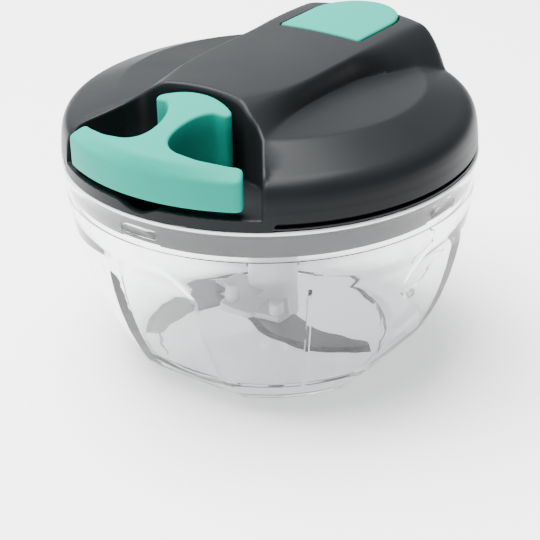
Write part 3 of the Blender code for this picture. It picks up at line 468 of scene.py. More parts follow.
# A noise varies the shader's roughness between two values.
def vary_roughness(tree, shader, noise, low, high, start=0.0, end=1.0):
    shine = add_node(tree, "ShaderNodeMapRange", {"Value": noise, "From Min": start,
                                                  "From Max": end, "To Min": low, "To Max": high})
    tree.links.new(shine["Result"], shader.inputs["Roughness"])


BUMP_HEIGHT = 0.00005


def add_bump(tree, shader, noise, strength):
    bump = add_node(tree, "ShaderNodeBump",
                    {"Height": noise, "Strength": strength, "Distance": BUMP_HEIGHT})
    tree.links.new(bump["Normal"], shader.inputs["Normal"])


# Satin moulded plastic: a fine grain from the mould and a slight unevenness of shine.
def moulded(name, color, rough, spread, grain_mm, grain_depth, gloss=0.5, mottle=0.06):
    made, tree, shader, place = new_material(name, color)
    add_bump(tree, shader, add_noise(tree, place, 1000.0 / grain_mm, 2.0), grain_depth)
    cloud = add_noise(tree, place, 55.0, 4.0)
    vary_roughness(tree, shader, cloud, rough - spread, rough + spread, 0.3, 0.7)
    tone = tree.nodes.new("ShaderNodeMix")
    tone.data_type = "RGBA"
    tone.inputs["A"].default_value = tuple(c * (1.0 - mottle) for c in color) + (1.0,)
    tone.inputs["B"].default_value = tuple(min(1.0, c * (1.0 + mottle)) for c in color) + (1.0,)
    tree.links.new(cloud, tone.inputs["Factor"])
    tree.links.new(tone.outputs["Result"], shader.inputs["Base Color"])
    shader.inputs["Specular IOR Level"].default_value = gloss
    return made


dark_plastic = moulded("dark_plastic", (0.0095, 0.0108, 0.0120), 0.38, 0.03, 0.35, 0.12, 0.10)

RIM = 68.0
CORD_Z = RIM + 9.0
SHOULDER_R = 58.0
SHOULDER_BLUR = 0.7
SPINE_BLUR = 5.0
COVER_INSIDE_Z = 2.9
CONE_R = 60.0
CONE_Z = 14.7
CONE_SLOPE = 0.37
DISH_R = 47.3
DISH_Y = 2.0
DISH_SLOPE = 0.06
LIP_Z = 3.7
EDGE_R = (58.0, 60.0, 61.2, 62.2, 63.0, 63.6, 64.1, 64.5, 64.8, 65.0)
EDGE_CONE = (15.44, 14.7, 14.1, 13.4, 12.6, 11.6, 10.3, 8.3, 5.0, 0.3)
EDGE_SPINE = (27.5, 26.9, 26.0, 24.5, 22.3, 19.6, 16.0, 11.5, 6.0, 0.3)
SPINE_Y = (-40.0, -36.0, -32.0, -26.0, -18.0, -8.0, 6.0, 17.0, 23.0, 28.0, 37.0, 45.0, 52.0,
           60.0)
SPINE_TOP_X = (11.0, 12.0, 13.5, 16.0, 18.8, 20.0, 20.2, 20.2, 20.3, 20.5, 20.5, 20.5, 20.5,
               20.5)
SPINE_FOOT_X = (26.5, 25.8, 25.0, 24.0, 23.0, 22.6, 22.6, 22.5, 24.4, 27.4, 31.0, 32.5, 33.0,
                33.0)
SPINE_FALL = (6.5, 6.5, 6.4, 6.3, 6.3, 6.3, 6.3, 6.4, 6.8, 7.3, 8.5, 10.2, 11.0, 11.5)
SPINE_BEND = (1.4, 1.4, 1.55, 1.8, 2.1, 2.2, 2.2, 2.2, 2.0, 1.9, 1.8, 1.8, 1.8, 1.8)


# Distances along the curve of the shoulder, from where it starts.
def shoulder_runs():
    run = [SHOULDER_R]
    for i in range(1, len(EDGE_R)):
        step = math.hypot(EDGE_R[i] - EDGE_R[i - 1], EDGE_CONE[i] - EDGE_CONE[i - 1])
        run.append(run[-1] + step)
    return run


SHOULDER_RUN = shoulder_runs()


def shoulder_table(values, run):
    return smooth_table(SHOULDER_RUN, values, run, SHOULDER_BLUR)


def spine_table(values, y):
    return smooth_table(SPINE_Y, values, y, SPINE_BLUR)


def spine_height(x, y):
    return 28.1 - 0.0022 * x * x - 0.003 * np.maximum(0.0, y - 42.0) ** 2


def reach(points):
    return np.hypot(points[:, 0], points[:, 1])


# Height of the lid top over a flat plan, where a point beyond the start of the
# shoulder counts its distance along the shoulder's curve.
def lid_point(flat):
    run = reach(flat)
    way = flat / np.maximum(run, 1e-9)[:, None]
    on_top = run < SHOULDER_R
    r = np.minimum(np.where(on_top, run, shoulder_table(EDGE_R, run)), EDGE_R[-1])
    x = way[:, 0] * r
    y = way[:, 1] * r
    low = CONE_Z + (CONE_R - r) * CONE_SLOPE
    low = np.where(on_top, low, shoulder_table(EDGE_CONE, run))
    at_edge = spine_height(way[:, 0] * SHOULDER_R, way[:, 1] * SHOULDER_R)
    edge = shoulder_table(EDGE_SPINE, run)
    high = np.where(on_top, spine_height(x, y), edge * at_edge / EDGE_SPINE[0])
    into = DISH_R - np.hypot(x, y - DISH_Y)
    dish = CONE_Z + (CONE_R - r - into) * CONE_SLOPE + into * DISH_SLOPE
    low = np.where(on_top, -0.1 * np.logaddexp(-low / 0.1, -dish / 0.1), low)
    top_x = spine_table(SPINE_TOP_X, y)
    foot_x = spine_table(SPINE_FOOT_X, y)
    down = np.maximum(0.0, (np.abs(x) - top_x) / (foot_x - top_x))
    flank = high - spine_table(SPINE_FALL, y) * down ** spine_table(SPINE_BEND, y)
    fillet = 0.3 - 0.28 * soft(SHOULDER_R, 64.0, run)
    return x, y, fillet * np.logaddexp(low / fillet, flank / fillet)


POCKET_ARCH = ((0.0, -31.0), (6.0, -31.3), (11.0, -32.2), (15.0, -33.6), (18.6, -35.2),
               (22.4, -36.2), (25.6, -38.6))
POCKET_SIDE_DEGREES = 35.0
POCKET_REACH = 82.0


def pocket_curve():
    half = spline([(-6.0, -31.3)] + list(POCKET_ARCH), 0.6, False)
    half = np.vstack([POCKET_ARCH[:1], half[half[:, 0] > 0.3]])
    side = math.radians(POCKET_SIDE_DEGREES)
    far = np.array((POCKET_REACH * math.sin(side), -POCKET_REACH * math.cos(side)))
    near = half[-1]
    steps = np.arange(1, 72) / 72.0
    right = np.vstack([half, near + (far - near) * steps[:, None]])
    left = right[1:][::-1] * (-1.0, 1.0)
    return np.vstack([left, right])


# Adds even points to a closed outline, as many to a side as count gives for its length.
def with_more_points(points, count):
    points = np.array(points)
    dense = []
    for i in range(len(points)):
        a, b = points[i], points[(i + 1) % len(points)]
        n = max(1, count(np.linalg.norm(b - a)))
        dense += [a + (b - a) * k / n for k in range(n)]
    return np.array(dense)


BUTTON_HALF = 15.2
BUTTON_FRONT = 27.9
BUTTON_CORNER = 1.0
BUTTON_BACK_Y = 46.0
BUTTON_BACK_REACH = 16.6


def corner_arc(x, y, start):
    turn = [math.radians(start + 18.0 * i) for i in range(6)]
    return [(x + BUTTON_CORNER * math.cos(a), y + BUTTON_CORNER * math.sin(a)) for a in turn]


# Plan of the button: straight in front with two small corners, half an ellipse behind.
def button_curve(grow):
    points = corner_arc(BUTTON_HALF - BUTTON_CORNER, BUTTON_FRONT + BUTTON_CORNER, -90.0)
    for i in range(1, 56):
        a = math.pi * i / 56.0
        points.append((BUTTON_HALF * math.cos(a), BUTTON_BACK_Y + BUTTON_BACK_REACH * math.sin(a)))
    points += corner_arc(-BUTTON_HALF + BUTTON_CORNER, BUTTON_FRONT + BUTTON_CORNER, 180.0)
    dense = with_more_points(points, lambda size: int(round(size / 0.6)))
    return dense if grow == 0.0 else offset_outline(dense, grow)


# Plan points of the cover: its outer ring, then rings and rows along the flanks of
# the spine, and rows that follow the edges of the pocket and of the button's well.
def cover_plan(pocket, pocket_loop, well):
    last = SHOULDER_RUN[-1]
    runs = np.concatenate([np.arange(2.0, 20.0, 2.0), np.arange(20.0, 45.6, 0.85),
                           np.arange(46.2, 58.0, 0.85),
                           np.arange(58.4, last - 0.4, 0.62), (last,)])
    points = [(0.0, 0.0)]
    for k, run in enumerate(runs):
        count = max(10, int(TAU * run / (0.95 if run < 57.0 else 1.25)))
        count = min(count, 360)
        for i in range(count):
            a = TAU * (i + 0.5 * (k % 2)) / count
            points.append((run * math.sin(a), -run * math.cos(a)))
    edge_turn = np.arange(340) * TAU / 340
    for radius in (DISH_R - 0.35, DISH_R, DISH_R + 0.35):
        points += list(zip(radius * np.cos(edge_turn), DISH_Y + radius * np.sin(edge_turn)))
    points = np.array(points)
    at_rim = reach(points) > last - 1e-3
    ring = points[at_rim]
    points = points[~at_rim]
    rows_y = np.arange(-38.0, 57.5, 0.7)
    top_x, foot_x = spine_table(SPINE_TOP_X, rows_y), spine_table(SPINE_FOOT_X, rows_y)
    flank = []
    for part in (-0.4, -0.1, 0.12, 0.3, 0.45, 0.58, 0.7, 0.8, 0.88, 0.94, 1.0, 1.07, 1.18, 1.35):
        row_x = top_x + (foot_x - top_x) * part
        flank += list(zip(row_x, rows_y)) + list(zip(-row_x, rows_y))
    flank = np.array(flank)
    flank = flank[reach(flank) < 57.8]
    top_x = spine_table(SPINE_TOP_X, points[:, 1])
    foot_x = spine_table(SPINE_FOOT_X, points[:, 1])
    part = (np.abs(points[:, 0]) - top_x) / (foot_x - top_x)
    in_flank = (part > -0.55) & (part < 1.5) & (reach(points) < 58.2)
    points = np.vstack([points[~in_flank], flank])
    points = points[distance_to(pocket, points, False) > 1.9]
    points = points[distance_to(well, points) > 0.95]
    rows = []
    for row in (-0.6, 0.0, 0.06, 0.2, 0.42, 0.7, 1.05, 1.45):
        moved = offset_outline(pocket_loop, row)[:len(pocket)]
        rows.append(moved[reach(moved) < last - 0.3])
    for row in (-0.5, 0.0, 0.05, 0.15, 0.3, 0.55):
        rows.append(offset_outline(well, row))
    return ring, np.vstack([points] + rows)


def lid_cover(pocket, pocket_loop, well):
    ring, points = cover_plan(pocket, pocket_loop, well)
    flat, faces = filled([ring], points, lambda m: reach(m) < SHOULDER_RUN[-1])
    x, y, z = lid_point(flat)
    r = np.hypot(x, y)
    run = reach(flat)
    gap = distance_to(pocket, flat, False)
    gap = gap * np.where(run > SHOULDER_R, r / np.maximum(run, 1.0), 1.0)
    gap = np.where(inside(pocket_loop, flat), 0.0, gap)
    z -= rounding(gap, 1.3) * soft(4.0, 8.0, z)
    z -= rounding(np.where(inside(well, flat), 0.0, distance_to(well, flat)), 0.4)
    angle = np.abs(np.degrees(np.arctan2(x, -y)))
    foot = 0.3 + 2.2 * soft(36.4, 37.6, angle)
    z = np.where(z < 6.0, foot + (z - 0.3) * (6.0 - foot) / 5.7, z)
    vertices = [(a, b, RIM + c) for a, b, c in zip(x, y, z)]
    shape = [tuple(int(i) for i in f) for f in faces]
    edges = rim_edges(faces)
    follow = {a: b for a, b in edges}
    order = [edges[0][0]]
    while follow[order[-1]] != order[0]:
        order.append(follow[order[-1]])
    previous = order
    for radius, lift in ((64.75, -0.05), (62.9, -0.05), (62.6, None), (50.0, None)):
        start = len(vertices)
        for i in order:
            base = COVER_INSIDE_Z if lift is None else z[i] + lift
            vertices.append((x[i] / r[i] * radius, y[i] / r[i] * radius, RIM + base))
        for k in range(len(order)):
            j = (k + 1) % len(order)
            shape.append((previous[k], start + k, start + j, previous[j]))
        previous = list(range(start, len(vertices)))
    vertices.append((0.0, 0.0, RIM + COVER_INSIDE_Z))
    for k in range(len(order)):
        shape.append((previous[k], len(vertices) - 1, previous[(k + 1) % len(order)]))
    return make_object("lid_cover_moulding", vertices, shape, dark_plastic, 50.0)


# The pocket for the handle: straight walls, a floor with a rounded front lip
# and a dip in the middle for a fingertip.
def pocket_floor(x, y, gap):
    r = np.hypot(x, y)
    dip = 2.3 * (1.0 - soft(0.8, 8.8, np.abs(x))) * soft(56.0, 62.5, r)
    return RIM + LIP_Z - dip + rounding(gap, 0.9) - rounding(65.15 - np.minimum(r, 65.1), 0.8)


def pocket_tool(pocket_loop):
    part = pocket_loop[reach(pocket_loop) < 70.0]
    outline = offset_outline(np.vstack([part, [(42.0, -80.0), (-42.0, -80.0)]]), -0.08)
    return slab("pocket_tool", outline, (0.1, 0.3, 0.6, 1.0), 1.0, level(RIM + 45.0),
                pocket_floor, dark_plastic)


def build_lid_cover():
    pocket = pocket_curve()
    pocket_loop = np.vstack([pocket, [(60.0, -95.0), (-60.0, -95.0)]])
    well = button_curve(0.5)
    cover = lid_cover(pocket, pocket_loop, well)
    well_tool = slab("well_tool", offset_outline(well, -0.08), (), 3.0, level(RIM + 40.0),
                     level(RIM + 17.4), dark_plastic)
    chamber = lathe("drum_chamber", [(0.0, RIM - 4.0), (24.5, RIM - 4.0), (24.5, RIM + 14.0),
                                     (6.0, RIM + 14.6), (0.0, RIM + 14.6)], 96, dark_plastic)
    eye = laid_along_cord(rod("eyelet_hole", 2.6, 23.0, 34.0, 32, dark_plastic))
    combine(cover, [pocket_tool(pocket_loop), well_tool, chamber, eye], "DIFFERENCE", 38.0)
    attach(cover, "lid")
    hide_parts("lid_cover")


build_lid_cover()

# A teal press button of satin plastic fills the back of the spine, flush with its top.
# It slides in the cover's well, over a steel spring that stands in its bore.
teal_plastic = moulded("teal_plastic", (0.005, 0.27, 0.205), 0.42, 0.03, 0.35, 0.10, 0.04, 0.03)


def build_button():
    def top(x, y, gap):
        fall = 0.0012 * np.maximum(0.0, y - 46.0) ** 2
        return RIM + 28.45 - 0.0022 * x * x - fall - rounding(gap, 0.8)

    button = slab("button_cap", button_curve(0.0), (0.04, 0.14, 0.3, 0.5, 0.72), 1.3, top,
                  level(RIM + 20.8), teal_plastic, 2, 38.0)
    bore = rod("button_bore", 4.6, RIM + 18.0, RIM + 24.9, 48, teal_plastic, (0.0, 44.0))
    combine(button, [bore], "DIFFERENCE", 38.0)
    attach(button, "button")
    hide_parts("release_button")


build_button()

# The handle is a T moulded in the teal plastic of the button: a curved grip outside, and
# a plug that fills the pocket, joined by a narrow neck with a finger hole on each side.
GRIP_OUTER_R = 65.2
GRIP_END = 29.3


HANDLE_HALF = ((0.0, -32.0), (4.5, -32.35), (8.5, -33.4), (11.6, -34.7), (13.0, -35.6),
               (13.6, -36.8), (13.0, -37.9), (11.4, -38.3), (8.8, -38.6), (6.6, -40.4),
               (5.0, -43.0), (4.0, -46.0), (3.6, -49.0), (3.8, -52.0), (4.8, -54.6),
               (6.8, -56.5), (9.4, -57.4), (12.5, -57.4))


def at_angle(radius, degrees):
    a = math.radians(degrees)
    return (radius * math.sin(a), -radius * math.cos(a))


# The drawn half of the plan goes from the cord to the grip's inner curve.
def handle_outline():
    end = [(59.4, 17.0), (59.4, 21.5), (59.4, 26.0), (59.45, GRIP_END - 1.3),
           (59.9, GRIP_END - 0.35), (60.7, GRIP_END), (62.2, GRIP_END), (63.6, GRIP_END),
           (64.6, GRIP_END - 0.45), (GRIP_OUTER_R - 0.05, GRIP_END - 1.5)]
    end += [(GRIP_OUTER_R, a) for a in (26.0, 22.0, 17.0, 11.0, 5.5, 0.0)]
    half = list(HANDLE_HALF) + [at_angle(*place) for place in end]
    left = [(-x, y) for x, y in half[1:-1]]
    left.reverse()
    return spline(half + left, 0.55, True)


def handle_top(x, y, gap):
    r = np.hypot(x, y)
    angle = np.abs(np.degrees(np.arctan2(x, -y)))
    crown = 26.0 + (y + 35.0) * 0.25 - 0.0052 * x * x
    slope = np.maximum(0.6, 2.1 - 0.061 * angle)
    bevel = 15.0 + (GRIP_OUTER_R - r) * slope
    blend = 0.35
    meet = -blend * np.logaddexp(-crown / blend, -bevel / blend)
    return RIM + meet - rounding(gap, 0.9)


def build_handle():
    def bottom(x, y, gap):
        return RIM + 6.0 + rounding(gap, 0.6)

    handle = slab("handle_moulding", handle_outline(), (0.05, 0.18, 0.36, 0.62, 0.92), 0.85,
                  handle_top, bottom, teal_plastic, 3, 40.0)
    passage = laid_along_cord(rod("cord_passage", 1.25, 28.0, 41.0, 32, teal_plastic))
    chamber = lathe("knot_chamber", [(0.0, RIM + 2.0), (2.9, RIM + 2.0), (2.9, RIM + 11.7),
                                     (0.0, RIM + 12.4)],
                    32, teal_plastic, False, 35.0, (0.0, -41.0))
    combine(handle, [passage, chamber], "DIFFERENCE", 40.0)
    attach(handle, "handle")
    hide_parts("pull_handle")


build_handle()

# The bowl is one thick clear moulding. Four flat facets in its wall have an upright fin
# between them, four lugs stand under the rim, and a boss on the floor holds the pin.
BOWL_Z = (0.0, 1.0, 4.0, 8.0, 14.0, 20.0, 28.0, 36.0, 44.0, 49.0, 52.5, 57.0, 67.6, 68.0)
BOWL_R = (43.0, 44.0, 47.2, 49.6, 52.8, 55.6, 58.5, 60.7, 62.4, 63.2, 63.8, 64.4, 65.0, 64.7)
FACET_Z = (0.0, 3.0, 14.0, 43.0, 50.0, 53.5)
FACET_CUT = (3.4, 3.4, 2.73, 2.25, 0.9, 0.0)
LUG_ANGLES = (-1.0, 89.0, 179.0, 269.0)
FIN_ANGLES = (46.5, 136.5, 226.5, 316.5)


def clear_material():
    made, tree, shader, place = new_material("clear_plastic", (0.98, 0.988, 1.0))
    shader.inputs["Transmission Weight"].default_value = 1.0
    shader.inputs["IOR"].default_value = 1.42
    vary_roughness(tree, shader, add_noise(tree, place, 70.0, 3.0), 0.0, 0.02)
    made.diffuse_color = (0.86, 0.88, 0.90, 0.3)
    return made


clear_plastic = clear_material()
# A pale opaque paint on the outer top edge of the rim is a painted highlight: the bright thin line
# along the rim under the lid.
frosted_edge = moulded("frosted_edge", (0.86, 0.88, 0.90), 0.45, 0.04, 0.3, 0.1, 0.5, 0.03)


def outer_radius(z):
    return float(smooth_table(BOWL_Z[1:-1], BOWL_R[1:-1], z, 2.0))


# Half the angle that a facet covers at a height.
def facet_half(z, thick=0.0):
    r = outer_radius(z)
    spare = min(thick, 0.8)
    share = (r - np.interp(z, FACET_Z, FACET_CUT)) / (r - spare)
    return max(4.0, math.degrees(math.acos(min(1.0, share))))


# Directions round the bowl that keep a column of points on each edge of each facet.
def directions(half):
    quarter = np.concatenate([np.linspace(-45.0, -half, 22, endpoint=False),
                              np.linspace(-half, half, 28, endpoint=False),
                              np.linspace(half, 45.0, 22, endpoint=False)])
    return np.concatenate([quarter + 90.0 * k for k in range(4)])


# The wall's radius at a height: round, but for four flat facets, deeper toward the base.
def wall_radius(angle, z, thick=0.0):
    r = outer_radius(z)
    local = np.radians((angle + 45.0) % 90.0 - 45.0)
    facet = (r - np.interp(z, FACET_Z, FACET_CUT)) / np.cos(local) - max(0.0, thick - 0.8)
    return np.minimum(r - thick, facet)


# Starts a node tree that takes geometry and the named inputs and gives geometry.
def new_tree(name, inputs):
    tree = bpy.data.node_groups.new(name, "GeometryNodeTree")
    sockets = (("Geometry", "Geometry"),) + inputs
    for label, kind in sockets:
        tree.interface.new_socket(label, in_out="INPUT", socket_type="NodeSocket" + kind)
    tree.interface.new_socket("Geometry", in_out="OUTPUT", socket_type="NodeSocketGeometry")
    return tree, tree.nodes.new("NodeGroupInput").outputs


# Ends a node tree: instances become real geometry, which takes the material.
def end_tree(tree, geometry, material):
    real = add_node(tree, "GeometryNodeRealizeInstances", {"Geometry": geometry})
    coat = add_node(tree, "GeometryNodeSetMaterial",
                    {"Geometry": real["Geometry"], "Material": material})
    add_node(tree, "NodeGroupOutput", {"Geometry": coat["Geometry"]})


# A node tree that sets copies of a piece at the points of a mesh, each turned to
# face away from the upright axis. The piece, an extra turn and a material go in.
def copies_tree():
    tree, start = new_tree("copies_around_axis", (("Piece", "Object"), ("Turn", "Float"),
                                                  ("Material", "Material")))
    place = add_node(tree, "GeometryNodeInputPosition", {})
    parts = add_node(tree, "ShaderNodeSeparateXYZ", {"Vector": place["Position"]})
    facing = tree.nodes.new("ShaderNodeMath")
    facing.operation = "ARCTAN2"
    tree.links.new(parts["Y"], facing.inputs[0])
    tree.links.new(parts["X"], facing.inputs[1])
    turned = tree.nodes.new("ShaderNodeMath")
    turned.operation = "ADD"
    tree.links.new(facing.outputs["Value"], turned.inputs[0])
    tree.links.new(start["Turn"], turned.inputs[1])
    spin = add_node(tree, "ShaderNodeCombineXYZ", {"Z": turned.outputs["Value"]})
    piece = add_node(tree, "GeometryNodeObjectInfo", {"Object": start["Piece"]})
    spread = add_node(tree, "GeometryNodeInstanceOnPoints",
                      {"Points": start["Geometry"], "Instance": piece["Geometry"],
                       "Rotation": spin["Vector"]})
    end_tree(tree, spread["Instances"], start["Material"])
    return tree


COPIES = copies_tree()


def set_inputs(step, tree, values):
    step.node_group = tree
    for socket in tree.interface.items_tree:
        if socket.in_out == "INPUT" and socket.name in values:
            step[socket.identifier] = values[socket.name]


# Runs an object's modifiers into a plain mesh of its own.
def made_plain(item, name, material, angle):
    data = evaluated_mesh(item, material)
    bpy.data.objects.remove(item, do_unlink=True)
    made = linked(name, data)
    shade_smooth(made, angle)
    return made


def copies(name, piece, radius, angles, material, turn=0.0):
    data = bpy.data.meshes.new(name)
    spots = [at_angle(radius, angle) for angle in angles]
    data.from_pydata([(x * 0.001, y * 0.001, 0.0) for x, y in spots], [], [])
    item = linked(name, data)
    step = item.modifiers.new("copies", "NODES")
    set_inputs(step, COPIES, {"Piece": piece, "Turn": turn, "Material": material})
    made = made_plain(item, name, material, 35.0)
    bpy.data.objects.remove(piece, do_unlink=True)
    return made


def closed_rings(name, rings, material, angle=35.0):
    vertices, faces = ring_mesh(rings, False)
    faces.append(tuple(range(len(rings[0]))))
    last = len(vertices) - len(rings[-1])
    faces.append(tuple(range(len(vertices) - 1, last - 1, -1)))
    return make_object(name, vertices, faces, material, angle)


LUG_MIDDLE_R = 62.15
LUG_HALF = 6.5
LUG_Z = RIM - 5.9


# A catch of the rim: a bar with rounded ends that follows the wall of the collar.
def build_lug():
    rings = []
    for radius, inset in ((62.95, 0.0), (61.62, 0.0), (61.44, 0.06), (61.35, 0.22)):
        ring = []
        corner = 1.15 - inset
        for side, up, start in ((1, 1, 0.0), (-1, 1, 90.0), (-1, -1, 180.0), (1, -1, 270.0)):
            for i in range(7):
                a = math.radians(start + 15.0 * i)
                along = side * (LUG_HALF - inset - corner) + corner * math.cos(a)
                z = LUG_Z + up * (1.3 - inset - corner) + corner * math.sin(a)
                turn = along / LUG_MIDDLE_R
                ring.append((radius * math.cos(turn) - LUG_MIDDLE_R, radius * math.sin(turn), z))
        rings.append(ring)
    return closed_rings("lug", rings, clear_plastic)


FIN_MIDDLE_R = 58.0
FIN_TOP = 47.3


# An upright fin on the inside of the wall, thinner at its inner edge.
def build_fin():
    outer = []
    inner = []
    for z in (5.5, 8.0, 12.0, 18.0, 24.0, 30.0, 36.0, 42.0, 45.0, 46.4, 47.0):
        wall = outer_radius(z) - 2.9
        outer.append((wall + 0.3, z))
        inner.append((wall - 2.5 * min(1.0, math.sqrt(max(0.0, (FIN_TOP - z) / 2.2))), z))
    profile = outer + inner[::-1]
    thick = [0.65] * len(outer) + [0.5] * len(inner)
    rings = [[(r - FIN_MIDDLE_R, side * t, z) for (r, z), t in zip(profile, thick)]
             for side in (-1.0, 1.0)]
    return closed_rings("fin", rings, clear_plastic)


# The outside of the rim, then the inside of it down to where the facets start.
RIM_BEAD = ((65.1, 67.0), (65.25, 67.25), (65.25, 67.55), (65.05, 67.85), (64.6, 68.0),
            (63.0, 68.0), (62.7, 67.9), (62.55, 67.6), (62.55, 63.0), (62.55, 58.2),
            (62.5, 57.9), (61.9, 57.6), (61.5, 57.2))
FLOOR_INSIDE = ((41.6, 5.2), (40.3, 4.0), (39.0, 3.3), (37.9, 3.05), (36.6, 3.0), (36.2, 2.9),
                (35.8, 2.5), (5.0, 2.5), (4.3, 2.9), (4.1, 6.1), (3.7, 6.6), (1.62, 6.6),
                (1.62, 2.15))


def bowl_rings():
    def ring(radius, z, half):
        angle = directions(half)
        turn = np.radians(angle)
        radius = np.broadcast_to(radius, turn.shape)
        return np.stack([radius * np.sin(turn), -radius * np.cos(turn), np.full(len(turn), z)], 1)

    def wall(z, thick=0.0):
        half = facet_half(z, thick)
        return ring(wall_radius(directions(half), z, thick), z, half)

    foot = facet_half(1.4)
    rings = [[(0.0, 0.0, 1.0)]]
    for radius, z in ((20.0, 1.0), (37.0, 1.0), (37.6, 0.6), (38.0, 0.1), (38.3, 0.0)):
        rings.append(ring(radius, z, foot))
    turn = directions(foot)
    for inset, z in ((1.4, 0.0), (0.7, 0.15), (0.2, 0.6)):
        rings.append(ring(wall_radius(turn, 1.0) - inset, z, foot))
    heights = np.concatenate([np.arange(1.4, 46.0, 1.2), np.arange(46.0, 57.0, 0.45),
                              (57.3, 58.0, 60.0, 63.0, 66.0, 66.8)])
    for z in heights:
        rings.append(wall(z))
    for radius, z in RIM_BEAD:
        rings.append(ring(radius, z, 4.0))
    for z in np.concatenate([(56.0, 54.0), np.arange(52.0, 6.0, -2.0)]):
        rings.append(wall(z, 3.2 if z < 50.0 else 2.9))
    foot = facet_half(6.0, 3.2)
    for radius, z in FLOOR_INSIDE:
        rings.append(ring(radius, z, foot))
    rings.append([(0.0, 0.0, FLOOR_INSIDE[-1][1])])
    return rings


# Edges of the facets between these heights are kept sharp, in metres and degrees.
CREASE_LOW = 0.003
CREASE_HIGH = 0.05
CREASE_LENGTH = 0.0006
CREASE_DEGREES = 9.0


def crease_facets(data):
    work = bmesh.new()
    work.from_mesh(data)
    for edge in work.edges:
        low, high = sorted(v.co.z for v in edge.verts)
        upright = low > CREASE_LOW and high < CREASE_HIGH and high - low > CREASE_LENGTH
        if upright and edge.calc_face_angle(0.0) > math.radians(CREASE_DEGREES):
            edge.smooth = False
    work.to_mesh(data)
    work.free()


def build_bowl():
    vertices, faces = ring_mesh(bowl_rings(), False)
    bowl = make_object("bowl_moulding", vertices, faces, clear_plastic, 32.0)
    lugs = copies("lugs", build_lug(), LUG_MIDDLE_R, LUG_ANGLES, clear_plastic)
    fins = copies("fins", build_fin(), FIN_MIDDLE_R, FIN_ANGLES, clear_plastic)
    combine(bowl, [lugs, fins], "UNION", 32.0)
    crease_facets(bowl.data)
    # The outer top edge of the rim takes the painted highlight.
    bowl.data.materials.append(frosted_edge)
    for face in bowl.data.polygons:
        x, y, z = face.center
        if z > 0.0671 and math.hypot(x, y) > 0.0645:
            face.material_index = 1
    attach(bowl, "bowl")
    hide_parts("bowl")


build_bowl()

# Under the cover a dark grey moulded plate closes the lid. Its spigot stands inside the
# rim of the bowl, and shows through it as a grey band with a channel for each lug.
grey_plastic = moulded("grey_plastic", (0.016, 0.0165, 0.019), 0.42, 0.04, 0.4, 0.03, 0.15)


def ring_sector(name, inner, outer, low, high, half_angle, material, steps=24):
    turn = np.radians(np.linspace(-half_angle, half_angle, steps))
    outline = np.vstack([np.stack([outer * np.cos(turn), outer * np.sin(turn)], 1),
                         np.stack([inner * np.cos(turn[::-1]), inner * np.sin(turn[::-1])], 1)])
    rings = [[(x, y, z) for x, y in outline] for z in (low, high)]
    return closed_rings(name, rings, material)


BASE_PROFILE = ((5.9, 0.0), (60.4, 0.0), (60.4, 2.0), (60.6, 2.2), (62.6, 2.2), (62.8, 2.0),
                (62.8, 0.95), (64.6, 0.95), (64.7, 0.85), (64.7, 0.35), (64.6, 0.25), (62.0, 0.25),
                (62.0, -1.25), (61.0, -1.25), (61.0, -3.05), (62.0, -3.05), (62.0, -8.5),
                (61.9, -8.85), (61.6, -9.1), (60.0, -9.1), (59.7, -8.95), (59.6, -8.7),
                (59.6, -2.6), (59.2, -2.2), (10.4, -2.2), (9.8, -2.6), (9.4, -7.8), (9.2, -8.0),
                (6.1, -8.0), (5.9, -7.8))
SCREW_CIRCLE = 52.0
SCREW_ANGLES = (70.0, 140.0, 220.0, 290.0)


def above_rim(profile):
    return [(r, RIM + z) for r, z in profile]


def build_lid_base():
    base = lathe("lid_base_moulding", above_rim(BASE_PROFILE), 288, grey_plastic, True)
    front = ring_sector("front_relief", 56.0, 68.0, RIM - 0.12, RIM + 6.0, 37.6, grey_plastic, 60)
    for vertex in front.data.vertices:
        x, y, z = vertex.co
        vertex.co = (y, -x, z)
    half = math.degrees(7.2 / 62.0)
    channel = ring_sector("channel", 60.95, 64.0, RIM - 12.0, RIM - 4.1, half, grey_plastic)
    channels = copies("channels", channel, 0.001, LUG_ANGLES, grey_plastic)
    sink = lathe("sink", above_rim([(0.0, -4.0), (3.3, -4.0), (3.3, -0.9), (1.75, -0.9),
                                    (1.75, 2.0), (0.0, 2.0)]), 48, grey_plastic)
    sinks = copies("sinks", sink, SCREW_CIRCLE, SCREW_ANGLES, grey_plastic)
    combine(base, [front, channels, sinks], "DIFFERENCE", 32.0)
    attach(base, "lid")
    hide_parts("lid_base")


build_lid_base()

# The seal is a ring of soft black rubber. It is stretched into the groove of the spigot
# and presses on the wall of the bowl.
seal_rubber = moulded("seal_rubber", (0.018, 0.018, 0.02), 0.7, 0.05, 0.3, 0.2, 0.1)


def build_seal():
    profile = [(61.2, -1.4), (61.9, -1.4), (62.1, -1.5), (62.25, -1.75), (62.25, -2.55),
               (62.1, -2.8), (61.9, -2.9), (61.2, -2.9)]
    seal = lathe("seal_ring", above_rim(profile), 288, seal_rubber, True, 60.0)
    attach(seal, "lid")
    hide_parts("lid_seal")


build_seal()

# Four plated screws hold the base in the posts of the cover, heads down in
# sunk holes. Each has a pan head with a cross recess.
BRUSH = (1.0, 12.0, 1.0)


def brushed_steel(name, color, rough):
    made, tree, shader, place = new_material(name, color)
    shader.inputs["Metallic"].default_value = 1.0
    stretch = add_node(tree, "ShaderNodeMapping", {"Vector": place, "Scale": BRUSH})
    lines = add_noise(tree, stretch["Vector"], 250.0, 4.0)
    vary_roughness(tree, shader, lines, rough - 0.08, rough + 0.1)
    add_bump(tree, shader, lines, 0.15)
    return made


plated_steel = brushed_steel("plated_steel", (0.66, 0.66, 0.68), 0.28)


